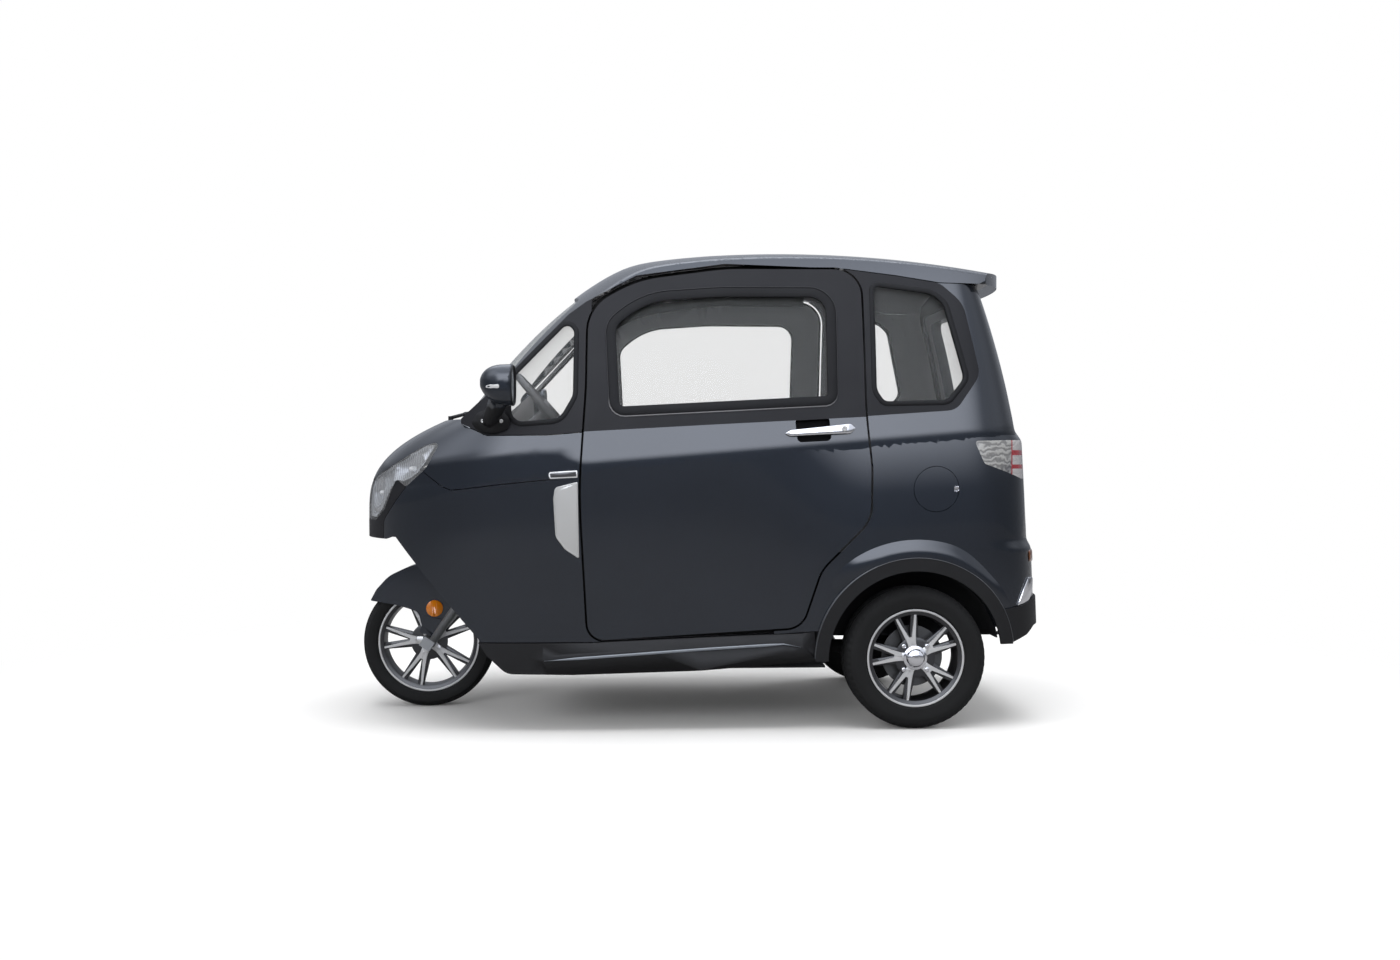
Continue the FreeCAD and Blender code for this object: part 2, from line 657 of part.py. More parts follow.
sill_shell = tail_hull(0.0).cut(tail_hull(60.0)).common(box(200, nose_start, 0, 900, 0, 500))
sill_shell = sill_shell.fuse(nose_hull(0.0).cut(nose_hull(60.0)).common(box(nose_start, 1700, 0, 900, 0, 500)))
sill_outline = [
    (1464, 300.5, 0), (1437, 258, 40), (1372, 196, 60), (1150, 191.5, 0), (728, 202, 0), (330, 232, 0),
    (345, 331, 0), (386, 326.5, 0), (1086, 299.5, 0),
]
step_outline = [
    (1254, 244, 0), (1230, 198, 0), (728, 206, 0), (336, 234, 0), (381, 284, 10), (447, 297, 30), (729, 281, 0),
]
step_shell = tail_hull(-16.0).cut(tail_hull(1.0)).common(box(200, nose_start + 20.0, 0, 900, 0, 500))
sill = sill_shell.common(side_prism(sill_outline, 0, 900))
sill = sill.fuse(step_shell.common(side_prism(step_outline, 0, 900)))
sill = sill.cut(disc(arch_trim_radius + 1.0, 0, arch_centre_z, 0, 900))
nodes["sills"] = both(sill)

# Small outside pieces: mirrors, wiper, plates and trims beside the doors
def mirror_section(x, z, half_y, half_z):
    """Rounded oblong around the mirror's middle, square to X."""
    points = []
    for i in range(24):
        angle = i / 24.0 * 2.0 * math.pi
        c, s = math.cos(angle), math.sin(angle)
        reach = (abs(c) ** mirror_roundness + abs(s) ** mirror_roundness) ** (-1.0 / mirror_roundness)
        points.append(Vector(x, mirror_y + half_y * c * reach, z + half_z * s * reach))
    curve = Part.BSplineCurve()
    curve.interpolate(Points=points, PeriodicFlag=True)
    return Part.Wire(curve.toShape())


mirror = Part.makeLoft([mirror_section(*row) for row in (
    (1332, 1146, 78, 66), (1362, 1147, 78, 64), (1396, 1149, 70, 56), (1420, 1152, 50, 38), (1434, 1153, 20, 15),
)], True)
mirror_outline = [
    (1482, 1030, 16), (1464, 1062, 24), (1420, 1079, 60), (1384, 1074, 30), (1354, 1040, 24), (1366, 1006, 24),
    (1415, 995, 60), (1466, 1008, 24),
]
mirror_base = side_prism(mirror_outline, 440, 556)
arm_foot, arm_head = Vector(1424, 545, 1034), Vector(1374, 660, 1112)
mirror_arm = Part.makeCone(24.0, 34.0, (arm_head - arm_foot).Length, arm_foot, arm_head - arm_foot)
mirror = mirror.fuse(mirror_arm).fuse(mirror_base)
mirror = mirror.cut(nose_hull(-glass_gap)).cut(upper_sheet(400.0, -glass_gap, 1200.0))
nodes["mirrors"] = both(mirror)

trim_sheet = nose_hull(-3.0).cut(nose_hull(-glass_gap)).common(box(1060, nose_start, 0, 900, 400, 1000))
side_plate = trim_sheet.common(side_prism(
    [(1213, 782, 20), (1207, 818, 16), (1133, 836, 4), (1129, 582, 4), (1176, 614, 30), (1206, 655, 40)], 0, 900))
side_strip = trim_sheet.common(side_prism([(1228, 868, 7), (1134, 874, 3), (1133, 850, 3), (1226, 846, 7)], 0, 900))
nodes["side_trims"] = Part.makeCompound([side_plate, side_strip, mirrored(side_plate), mirrored(side_strip)])

blade_points = (Vector(1520, -330, 1070), Vector(1565.5, -20, 1083), Vector(1551, 220, 1069))
blade_line = Part.Arc(*blade_points).toShape()
blade_start = blade_line.valueAt(blade_line.FirstParameter)
blade_end = Part.Wire(Part.makeCircle(5.0, blade_start, blade_line.tangentAt(blade_line.FirstParameter)))
wiper = rod(9.0, (1608, 150, cowl_height), (1608, 150, 1066))
wiper = wiper.fuse(rod(6.5, (1608, 150, 1060), (1565, -20, 1084)))
wiper = wiper.fuse(Part.Wire(blade_line).makePipeShell([blade_end], True, True))
nodes["wiper"] = wiper


# Wheels
def ring(profile, centre_y):
    """Ring turned about the wheel's axle from a profile of (y, radius) points."""
    points = [Vector(r, centre_y + y, 0) for y, r in profile]
    return Part.Face(Part.makePolygon(points + points[:1])).revolve(Vector(0, 0, 0), Vector(0, 1, 0), 360)


def tyre(width, lip_radius, centre_y):
    """Tyre on a rim of the given lip radius."""
    half = width / 2.0
    bead = half - 22.0
    mid = (tyre_radius + lip_radius) / 2.0
    profile = [
        (-bead, lip_radius - 12.5), (-bead - 3.5, lip_radius + 1.0), (-half + 9, lip_radius + 2.0), (-half, mid - 8),
        (-half, mid + 8), (-half + 9, tyre_radius - 10), (-half + 28, tyre_radius),
    ]
    profile += [(-y, r) for y, r in reversed(profile)]
    return ring(profile, centre_y)


def rim(width, lip_radius, centre_y, hub_bore, hub_half, outward=1.0):
    """Cast rim: barrel, hub and five pairs of thin spokes that join in a Y at the hub."""
    half = width / 2.0
    bead = half - 21.0
    lip = half - 12.0
    barrel = ring([
        (-lip, lip_radius), (-bead - 3, lip_radius), (-bead, lip_radius - 13), (bead, lip_radius - 13),
        (bead + 3, lip_radius), (lip, lip_radius), (lip, lip_radius - 8), (bead + 1, lip_radius - 20),
        (-bead - 1, lip_radius - 20), (-lip, lip_radius - 8),
    ], 0.0)
    face_high = bead + 1.0
    face_low = face_high - 18.0
    hub = disc(46.0, 0, 0, -hub_half, face_high).fuse(disc(70.0, 0, 0, face_low - 6.0, face_high - 8.0))
    wheel = barrel.fuse(hub)
    for pair in range(5):
        middle = math.radians(77.0 + 72.0 * pair)
        for side in (-1.0, 1.0):
            inner = middle + side * math.radians(9.0)
            outer = middle + side * math.radians(12.5)
            near = Vector(math.cos(inner), 0, math.sin(inner)) * 36.0
            far = Vector(math.cos(outer), 0, math.sin(outer)) * (lip_radius - 15.0)
            across = (far - near).cross(Vector(0, 1, 0)).normalize()
            corners = [near + across * 9.0, far + across * 5.5, far - across * 5.5, near - across * 9.0]
            corners = [Vector(c.x, face_low, c.z) for c in corners]
            spoke = Part.Face(Part.makePolygon(corners + corners[:1])).extrude(Vector(0, face_high - face_low, 0))
            wheel = wheel.fuse(spoke)
    wheel = wheel.cut(disc(hub_bore, 0, 0, -200, 200))
    if outward < 0.0:
        wheel = mirrored(wheel)
    wheel.translate(Vector(0, centre_y, 0))
    return wheel


def placed(shape, x):
    """A wheel piece moved to its axle."""
    shape = shape.copy()
    shape.translate(Vector(x, 0, tyre_radius))
    return shape


rear_wheel_y = rear_track / 2.0
nodes["front_tyre"] = placed(tyre(front_tyre_width, front_lip_radius, 0.0), wheelbase)
front_rim = rim(front_tyre_width, front_lip_radius, 0.0, front_axle_radius + bearing_gap, 40.0)
nodes["front_rim"] = placed(front_rim, wheelbase)
for name, sign in (("rear_left", 1.0), ("rear_right", -1.0)):
    nodes[name + "_tyre"] = placed(tyre(rear_tyre_width, rear_lip_radius, sign * rear_wheel_y), 0)
    nodes[name + "_rim"] = placed(
        rim(rear_tyre_width, rear_lip_radius, sign * rear_wheel_y, rear_stub_radius + bearing_gap, 50.0, sign), 0)


# Front fork, in its own upright frame: Z along the steering axis, X forward of it
def at_fork(shape):
    """Lean a fork piece back on to the raked steering axis."""
    shape = shape.copy()
    shape.rotate(Vector(0, 0, 0), Vector(0, 1, 0), -math.degrees(rake))
    foot = Vector(wheelbase - fork_offset * math.cos(rake), 0, tyre_radius - fork_offset * math.sin(rake))
    shape.translate(foot)
    return shape


leg_x = fork_offset - leg_setback
axle_reach = leg_y + leg_radius
fork = Part.makeCylinder(stem_radius, head_tube_high + 14.0 - crown_high, Vector(0, 0, crown_high))
fork = fork.fuse(Part.makeBox(leg_x + 20 + 26, 2 * axle_reach + 4, crown_high - crown_low,
                              Vector(-26, -axle_reach - 2, crown_low)))
fork = fork.fuse(disc(front_axle_radius, fork_offset, 0, -axle_reach, axle_reach))
for side in (-1.0, 1.0):
    fork = fork.fuse(Part.makeCylinder(leg_radius, crown_low + 1.0, Vector(leg_x, side * leg_y, 0)))
    clamp = box(leg_x - 10, fork_offset + 20, leg_y - leg_radius, leg_y + leg_radius + 2, -20, 18)
    fork = fork.fuse(clamp if side > 0 else mirrored(clamp))
nodes["fork"] = at_fork(fork)

guard_outline = [
    (1914, 394, 4), (1893, 434, 60), (1848, 484, 120), (1764, 524, 200), (1662, 534, 160), (1566, 496, 70),
    (1520, 436, 20), (1548, 418, 12), (1612, 372, 20), (1640, 322, 12), (1690, 262, 14), (1740, 276, 12),
    (1728, 300, 10), (1740, 352, 30), (1815, 377, 160),
]
guard_y = leg_y - leg_radius - 0.2
guard_skin = 4.0
guard = side_prism(guard_outline, -guard_y, guard_y)
hollow = grown_side_prism(guard_outline, -guard_skin, -guard_y + guard_skin, guard_y - guard_skin)
wheel_space = disc(tyre_radius + 14.0, wheelbase, tyre_radius, -guard_y + guard_skin, guard_y - guard_skin)
axle_hole = disc(front_axle_radius + 3.0, wheelbase, tyre_radius, -200, 200)
nodes["front_mudguard"] = guard.cut(hollow).cut(wheel_space).cut(axle_hole)
reflector = disc(30.0, 1680, 365, guard_y + 0.2, guard_y + 9.0)
nodes["front_reflectors"] = both(reflector)

# Frame under the floor, head tube, rear axle with its motor, and dampers
rail_outline = [
    (1250, 165, 0), (290, 165, 30), (205, 352, 20), (-395, 352, 0), (-395, 394, 0), (188, 394, 30),
    (273, 203, 30), (1250, 203, 0),
]
rail_inner = 200.0
rail_outer = 240.0
neck_half = 24.0
frame = side_prism(rail_outline, rail_inner, rail_outer)
frame = frame.fuse(mirrored(frame))
for x0, x1, z0, z1 in ((1200, 1250, 165, 203), (640, 690, 165, 203), (-395, -355, 352, 394), (120, 160, 352, 394)):
    frame = frame.fuse(box(x0, x1, -rail_inner, rail_inner, z0, z1))
axis_low = Vector(0, 0, head_tube_low)
head_tube = at_fork(Part.makeCylinder(head_tube_radius, head_tube_high - head_tube_low, axis_low))
neck = side_prism([
    (1250, 165, 0), (1200, 165, 0), (1200, 300, 80), (1302, 640, 60), (1362, 684, 0), (1425, 590, 0), (1368, 560, 30),
    (1300, 300, 150), (1250, 250, 0),
], -neck_half, neck_half)
head_bore = at_fork(Part.makeCylinder(stem_radius + bearing_gap, 400.0, Vector(0, 0, head_tube_low - 50.0)))
frame = frame.fuse(neck).fuse(head_tube).cut(head_bore)
tow_plate = side_prism([
    (-390, 394, 0), (-390, 300, 20), (-404, 246, 10), (-446, 246, 14), (-446, 292, 14), (-405, 394, 0),
], -4, 4)
frame = frame.fuse(tow_plate).cut(disc(9.0, -425, 267, -50, 50))
nodes["chassis_frame"] = frame

axle_tube = disc(30.0, 0, tyre_radius, -rear_wheel_y + 52.0, rear_wheel_y - 52.0)
axle = axle_tube.fuse(disc(rear_stub_radius, 0, tyre_radius, -rear_wheel_y - 48.0, rear_wheel_y + 48.0))
axle = axle.fuse(disc(92.0, 20, tyre_radius, -70, 90))
for side in (-1.0, 1.0):
    arm_side = [(-30, 218, 0), (-30, 262, 0), (245.6, 262, 0), (265.6, 218, 0)]
    arm = side_prism(arm_side, side * 220 - 14, side * 220 + 14)
    axle = axle.fuse(arm)
nodes["rear_axle"] = axle
damper = Part.makeCylinder(24.0, 82.0, Vector(0, 220, tyre_radius + 30.0 - 0.3))
damper = damper.cut(axle)
nodes["rear_dampers"] = both(damper)

# Floor, rear deck and the lining round the front wheel
floor_skin = 8.0
floor_y = 480.0
deck_y = housing_inner_y - 0.3
deck_top = 439.0
floor = box(290, 1375, -floor_y, floor_y, 203.3, 203.3 + floor_skin)
luggage_board = box(-385, -170, -360, 360, deck_top - 1, deck_top + 3)
deck = side_prism([
    (-400, deck_top - 9, 0), (282, deck_top - 9, 0), (282, 204, 0), (291, 204, 0), (291, deck_top, 0),
    (-400, deck_top, 0),
], -deck_y, deck_y).fuse(luggage_board)
floor = floor.fuse(deck).fuse(box(282, 291, -floor_y, floor_y, 203.3, deck_top)).cut(neck).cut(frame)
housing_space = disc(housing_outer_radius + glass_gap, 0, arch_centre_z, deck_y, 600)
for side_piece in (sill, rear_side, tail_panel, housing_space):
    floor = floor.cut(side_piece).cut(mirrored(side_piece))
nodes["floor_pan"] = floor
well_y = 235.0
well_skin = 6.0
lining = side_prism([
    (1738, 652, 0), (1366, 206, 0), (1376, 206, 0), (1760, 645, 0), (1880, 645, 0), (1880, 652, 0),
], 0, 900)
pocket_outer = [(1400, 206, 0), (1379, 206, 0), (1379, 482, 0), (1334, 646, 0), (1560, 706, 0), (1748, 652, 0)]
pocket_inner = [
    (1500, 190, 0), (1385, 190, 0), (1385, 480, 0), (1341, 642, 0), (1562, 700, 0), (1738, 646, 0), (1930, 560, 0),
    (1930, 190, 0),
]
lining = lining.fuse(side_prism(pocket_outer, 0, well_y + well_skin))
lining = lining.cut(side_prism(pocket_inner, 0, well_y)).common(nose_hull(front_wall + glass_gap))
lining = lining.cut(sill)
tube_hole = at_fork(Part.makeCylinder(head_tube_radius + 1.0, 500.0, Vector(0, 0, 200.0)))
lining = joined(lining).cut(floor).cut(tube_hole).cut(neck)
nodes["front_well"] = lining

# Inside: dashboard with its column, steering wheel, seats and the battery
dash = side_prism([
    (1500, 1000, 20), (1340, 1012, 50), (1292, 975, 30), (1296, 925, 30), (1360, 880, 40), (1500, 806, 0),
    (1566, 850, 0), (1560, 960, 40),
], 0, 900).common(nose_hull(front_wall + glass_gap)).cut(upper_sheet(wall + glass_gap, -50.0))
dash = joined(dash)
column_lean = math.radians(41.3)
column_axis = Vector(-math.cos(column_lean), 0, math.sin(column_lean))
hub_centre = Vector(1265, 0, 1090)
boss_depth = 24.0
column_foot = hub_centre - column_axis * 150.0
dash = dash.fuse(rod(26.0, column_foot, hub_centre - column_axis * (boss_depth + glass_gap)))
nodes["dashboard"] = dash
wheel_grip = Part.makeTorus(170.0, 13.0)
boss = Part.makeCylinder(42.0, boss_depth + 20.0, Vector(0, 0, -boss_depth))
steering_wheel = wheel_grip.fuse(boss)
for degrees in (90.0, 210.0, 330.0):
    bar = Part.makeBox(150.0, 26.0, 10.0, Vector(20.0, -13.0, -5.0))
    bar.rotate(Vector(0, 0, 0), Vector(0, 0, 1), degrees)
    steering_wheel = steering_wheel.fuse(bar)
steering_wheel.rotate(Vector(0, 0, 0), Vector(0, 1, 0), -(90.0 - math.degrees(column_lean)))
steering_wheel.translate(hub_centre)
nodes["steering_wheel"] = steering_wheel

battery_top = 430.0
nodes["battery_box"] = box(520, 900, -190, 190, 211.6, battery_top)
base_top = 470.0
nodes["seat_bases"] = Part.makeCompound([
    box(500, 900, -170, 170, battery_top + 0.3, base_top), box(-160, 240, -340, 340, deck_top + 0.3, base_top)])
seat_foot = base_top + 0.3
driver_seat = side_prism([
    (940, seat_foot, 30), (950, 560, 35), (630, 545, 60), (560, 640, 60), (470, 1010, 40), (380, 990, 40),
    (505, seat_foot, 30),
], -235, 235)
nodes["driver_seat"] = driver_seat
rear_seat = side_prism([
    (250, seat_foot, 30), (258, 555, 35), (-60, 545, 50), (-125, 640, 50), (-205, 965, 38), (-295, 945, 38),
    (-180, seat_foot, 20),
], -380, 380)
nodes["rear_seat"] = rear_seat

# The car's middle is the origin, so every piece moves back by half of what lies ahead of it
origin_x = (wheelbase + tyre_radius - rear_overhang) / 2.0
os.makedirs("parts", exist_ok=True)
for name, shape in nodes.items():
    piece = shape.copy()
    piece.translate(Vector(-origin_x, 0, 0))
    piece.exportStep("parts/" + name + ".step")
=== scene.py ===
import math

import bmesh
import bpy
import numpy as np
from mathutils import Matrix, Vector


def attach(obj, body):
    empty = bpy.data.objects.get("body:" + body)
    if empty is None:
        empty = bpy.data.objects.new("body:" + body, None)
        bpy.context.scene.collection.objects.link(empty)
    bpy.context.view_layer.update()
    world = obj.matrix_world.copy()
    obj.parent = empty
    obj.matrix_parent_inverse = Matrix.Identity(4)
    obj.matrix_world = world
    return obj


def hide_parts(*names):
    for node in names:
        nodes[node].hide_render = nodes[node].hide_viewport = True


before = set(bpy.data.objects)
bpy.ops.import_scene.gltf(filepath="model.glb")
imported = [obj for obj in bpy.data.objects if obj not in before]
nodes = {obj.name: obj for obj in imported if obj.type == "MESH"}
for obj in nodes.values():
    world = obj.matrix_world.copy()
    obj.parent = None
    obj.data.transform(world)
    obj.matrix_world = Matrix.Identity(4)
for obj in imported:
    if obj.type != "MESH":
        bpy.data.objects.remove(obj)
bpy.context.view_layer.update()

# Studio
# The car stands on a plain pale floor under one wide soft lamp and two side lamps.
# The camera is at the car's left side, at the height of its belt, as in the photograph.
rear_axle_x = -0.735
camera_spot = Vector((rear_axle_x + 0.930, 4.760, 0.902))
camera_yaw = math.radians(2.73)
camera_pitch = math.radians(0.82)
focal_share = 1270.0 / 1400.0
floor_half = 30.0

camera_data = bpy.data.cameras.new("camera")
camera_data.sensor_width = 36.0
camera_data.lens = 36.0 * focal_share
camera = bpy.data.objects.new("camera", camera_data)
bpy.context.scene.collection.objects.link(camera)
view_line = Vector((-math.sin(camera_yaw), -math.cos(camera_yaw), -math.tan(camera_pitch)))
camera.location = camera_spot
camera.rotation_euler = view_line.to_track_quat("-Z", "Y").to_euler()
bpy.context.scene.camera = camera
bpy.context.scene.view_settings.view_transform = "Standard"


def soft_lamp(name, spot, target, width, depth, watts):
    """Rectangular lamp at a spot, turned to face a target."""
    data = bpy.data.lights.new(name, "AREA")
    data.shape = "RECTANGLE"
    data.size = width
    data.size_y = depth
    data.energy = watts
    lamp = bpy.data.objects.new(name, data)
    lamp.location = spot
    lamp.rotation_euler = (Vector(target) - Vector(spot)).to_track_quat("-Z", "Y").to_euler()
    lamp.visible_glossy = False
    bpy.context.scene.collection.objects.link(lamp)


soft_lamp("lamp_top", (0.0, 0.6, 4.6), (0.0, 0.0, 0.8), 5.0, 3.0, 200)
soft_lamp("lamp_left", (2.6, 4.6, 2.6), (0.0, 0.0, 0.7), 2.4, 1.6, 60)
soft_lamp("lamp_rear", (-4.2, -3.0, 2.8), (0.0, 0.0, 0.8), 2.6, 1.8, 70)


class Shade:
    """A shader socket that adds, takes away and multiplies as a number does."""

    def __init__(self, tree, socket=None):
        self.tree = tree
        self.socket = socket

    def node(self, kind, settings=None, output=0, **inputs):
        """One node of a kind: its settings first, then the values or links of its named sockets."""
        made = self.tree.nodes.new(kind)
        for name, value in (settings or {}).items():
            setattr(made, name, value)
        for name, value in inputs.items():
            key = int(name[1:]) if name[0] == "i" and name[1:].isdigit() else name.replace("_", " ")
            socket = made.inputs[key]
            if isinstance(value, Shade):
                self.tree.links.new(value.socket, socket)
            else:
                socket.default_value = value
        return Shade(self.tree, made.outputs[output])

    def maths(self, operation, a, b=0.0):
        """Math node on two numbers or sockets."""
        return self.node("ShaderNodeMath", {"operation": operation}, i0=a, i1=b)

    def __add__(self, other):
        return self.maths("ADD", self, other)

    def __sub__(self, other):
        return self.maths("SUBTRACT", self, other)

    def __mul__(self, other):
        return self.maths("MULTIPLY", self, other)

    def __rsub__(self, other):
        return self.maths("SUBTRACT", other, self)

    __radd__ = __add__
    __rmul__ = __mul__

    def over(self, low, high):
        """0 below the low value, 1 above the high one, smooth between."""
        return self.node("ShaderNodeMapRange", {"interpolation_type": "SMOOTHSTEP"}, Value=self, From_Min=low,
                         From_Max=high)

    def near(self, place, low, high):
        """1 within the low distance of a value, 0 beyond the high one."""
        return 1.0 - self.maths("ABSOLUTE", self - place).over(low, high)

    def axis(self, count):
        """One of a vector's three coordinates."""
        return self.node("ShaderNodeSeparateXYZ", output=count, Vector=self)

    def blend(self, low_colour, high_colour):
        """Colour that runs from one to the other as this value runs from 0 to 1."""
        return self.node("ShaderNodeMix", {"data_type": "RGBA"}, output=2, i0=self, i6=low_colour, i7=high_colour)


def new_material(name):
    """Material, and the Object coordinates as a starting socket."""
    material = bpy.data.materials.new(name)
    material.use_nodes = True
    return material, Shade(material.node_tree).node("ShaderNodeTexCoord", output=3)


def dress(material, **values):
    """Gives the material's shader its values: what changes over the surface as a link, the rest on the socket."""
    for name, value in values.items():
        socket = material.node_tree.nodes["Principled BSDF"].inputs[name.replace("_", " ")]
        if isinstance(value, Shade):
            material.node_tree.links.new(value.socket, socket)
        else:
            socket.default_value = value


def finish(name, colour, roughness, metallic=0.0, coat=0.0, grain=None, spread=0.12, specular=0.5):
    """Material whose colour and roughness drift a little, with a fine grain where it is given as (scale, depth)."""
    material, place = new_material(name)
    drift = place.node("ShaderNodeTexNoise", Vector=place, Scale=9.0, Detail=4.0)
    low = (*[c * (1.0 - spread) for c in colour], 1.0)
    dress(material, Base_Color=drift.blend(low, (*colour, 1.0)), Metallic=metallic, Coat_Weight=coat,
          Roughness=drift * (0.3 * roughness) + 0.85 * roughness, Specular_IOR_Level=specular)
    if grain:
        scale, depth = grain
        fine = place.node("ShaderNodeTexNoise", Vector=place, Scale=scale, Detail=3.0)
        dress(material, Normal=place.node("ShaderNodeBump", Height=fine, Strength=0.5, Distance=depth))
    return material


floor_mesh = bpy.data.meshes.new("floor")
floor_mesh.from_pydata([(x * floor_half, y * floor_half, 0.0) for x, y in ((-1, -1), (1, -1), (1, 1), (-1, 1))], [],
                       [(0, 1, 2, 3)])
floor = bpy.data.objects.new("floor", floor_mesh)
bpy.context.scene.collection.objects.link(floor)
floor_paint, floor_place = new_material("floor_pale")
floor_tree = floor_paint.node_tree
floor_ray = floor_place.node("ShaderNodeLightPath", output=0)
dress(floor_paint, Base_Color=floor_ray.blend((0.36, 0.36, 0.37, 1.0), (0.96, 0.96, 0.96, 1.0)), Roughness=0.9,
      Specular_IOR_Level=0.1)
reach = floor_place.node("ShaderNodeVectorMath", {"operation": "LENGTH"}, output=1, i0=floor_place)
far_off = reach.over(1.4, 3.2) * 0.97 + 0.03
backdrop = floor_place.node("ShaderNodeEmission", Color=(1.0, 1.0, 1.0, 1.0), Strength=1.0)
floor_shine = Shade(floor_tree, floor_tree.nodes["Principled BSDF"].outputs[0])
mixed = floor_place.node("ShaderNodeMixShader", i0=far_off * floor_ray, i1=floor_shine, i2=backdrop)
floor_tree.links.new(mixed.socket, floor_tree.nodes["Material Output"].inputs["Surface"])
floor_mesh.materials.append(floor_paint)

# The world is white where the camera looks past the car. Rays that shine in the paint, and no others, meet a dark
# horizon under a band up to five times white on the camera's side, which fades to a plain sky overhead.
world = bpy.data.worlds.new("pale_sky")
bpy.context.scene.world = world
world.use_nodes = True
sky = Shade(world.node_tree)
ray = world.node_tree.nodes.new("ShaderNodeLightPath")
camera_ray, glossy_ray, clear_ray = (
    Shade(world.node_tree, ray.outputs[name]) for name in ("Is Camera Ray", "Is Glossy Ray", "Is Transmission Ray"))
direction = sky.node("ShaderNodeTexCoord", output=0)
fore, height = direction.axis(0), direction.axis(2)
beside = direction.axis(1).over(-0.3, 0.5)
nose_side = fore.over(0.25, 0.60)
square = (1.0 - nose_side) * fore.over(-0.55, -0.15)
band = beside * (square * 4.2 + 0.6) + 0.2
overhead = height.over(0.45, 0.80)
ahead_up = nose_side * height.over(0.20, 0.50) * beside * 1.6
over_horizon = height.over(0.06, 0.22)
shine = over_horizon * (band * (1.0 - overhead) + overhead * (1.1 + square) + ahead_up) + 0.20
soft = height.over(0.0, 0.35) * 0.45 + 0.18
diffuse_ray = 1.0 - (camera_ray + clear_ray + glossy_ray).over(0.0, 1.0)
strength = camera_ray + clear_ray + glossy_ray * shine + diffuse_ray * soft
tint = glossy_ray.blend((1.0, 1.0, 1.0, 1.0), (0.90, 0.95, 1.06, 1.0))
background = world.node_tree.nodes["Background"]
world.node_tree.links.new(tint.socket, background.inputs["Color"])
world.node_tree.links.new(strength.socket, background.inputs["Strength"])


# Body surface
# The painted panels, doors and panes all follow one surface: a bowed side with a shoulder line,
# squared-off round ends and a crowned roof. These are its formulas, with the measures in metres from the rear axle.
shoulder_x, shoulder_z, shoulder_slope = 1.117, 0.871, 0.085
tail_start, tail_power, nose_start, nose_power = -0.1, 4, 1.25, 2.6


def side_half(x, z):
    """Half width: straight plus bowed terms above and below a shoulder line that rises to the rear."""
    h = z - shoulder_z - (shoulder_x - x) * shoulder_slope
    return np.where(h >= 0.0, 0.572 - 0.10 * h - 0.141 * h * h, 0.572 + 0.02 * h - 0.077 * h * h)


def eased(z, low, high):
    """Smooth step: 3 s squared less 2 s cubed."""
    s = np.clip((z - low) / (high - low), 0.0, 1.0)
    return s * s * (3.0 - 2.0 * s)


def tail_end(z):
    """Rear end of the body over height: two leaning lines joined by a ledge, with a flare at the bumper."""
    low = -0.442 + 0.07 * (z - 0.624) - 0.016 * (1.0 - eased(z, 0.598, 0.642))
    d = z - 1.0
    high = -0.392 + 0.17 * d + 0.17 * d * d
    return low + (high - low) * eased(z, 0.965, 1.015)


def tail_gap(x, y, z):
    """Zero on the side and the tail: fourth powers of the shares of length and width add up to one."""
    back = np.maximum(0.0, (tail_start - x) / (tail_start - tail_end(z)))
    return (back ** tail_power + (np.abs(y) / side_half(x, z)) ** tail_power) ** (1.0 / tail_power) - 1.0


def nose_end(z):
    """Front end of the nose over height, which falls back up the bonnet."""
    return 1.906 - 2.577e-8 * (1000.0 * np.maximum(0.0, z - 0.723)) ** 2.8


def nose_gap(x, y, z):
    """Zero on the side and the nose: powers of 2.6 of the shares of length and width add up to one."""
    ahead = np.maximum(0.0, (x - nose_start) / np.maximum(0.05, nose_end(z) - nose_start))
    return (ahead ** nose_power + (np.abs(y) / side_half(x, z)) ** nose_power) ** (1.0 / nose_power) - 1.0


def drawn_in(share, power):
    """Share of the width left at a share of an end's length: the root of one less that share's power."""
    return (1.0 - np.clip(share, 0.0, 0.999) ** power) ** (1.0 / power)


def cabin_skin(x, z):
    """Half width above the belt: the side's own, drawn in towards the windscreen and over the tail."""
    return side_half(x, z) * drawn_in((x - nose_start) / 0.475, nose_power) * drawn_in((tail_start - x) / 0.54, 3)


def cabin_gap(x, y, z):
    """Zero on the side above the belt."""
    return np.abs(y) - cabin_skin(x, z)


def roof_gap(x, y, z):
    """Zero on the roof and windscreen: two arcs blended where they meet, crowned across."""
    crown, screen_rise, screen_bow = y * y / 3.4, 1.4187, 0.781
    along = x + crown
    roof = 1.662 - 0.132 * (along - 0.430) ** 2
    back = np.minimum(1.581 - along, screen_rise / (2.0 * screen_bow))
    screen = 1.046 + screen_rise * back - screen_bow * back * back
    return z - (roof + screen) / 2.0 + np.hypot((roof - screen) / 2.0, 0.010) + crown


def tail_skin(x, z):
    """Half width on the painted side: the side's own, drawn in round the tail by a fourth power."""
    return side_half(x, z) * drawn_in((tail_start - x) / (tail_start - tail_end(z)), tail_power)


def nose_skin(x, z):
    """Half width on the nose: the side's own, drawn in round the front by a power of 2.6."""
    return side_half(x, z) * drawn_in((x - nose_start) / np.maximum(0.05, nose_end(z) - nose_start), nose_power)


def slope_of(gap, spots):
    """Outward direction and distance of a surface at each spot, by small steps along each axis."""
    step = 1e-4
    x, y, z = spots[:, 0] - rear_axle_x, spots[:, 1], spots[:, 2]
    here = gap(x, y, z)
    rise = np.stack([gap(x + a, y + b, z + c) - gap(x - a, y - b, z - c) for a, b, c in step * np.eye(3)], axis=1)
    rise /= 2.0 * step
    size = np.linalg.norm(rise, axis=1) + 1e-12
    return rise / size[:, None], np.abs(here) / size


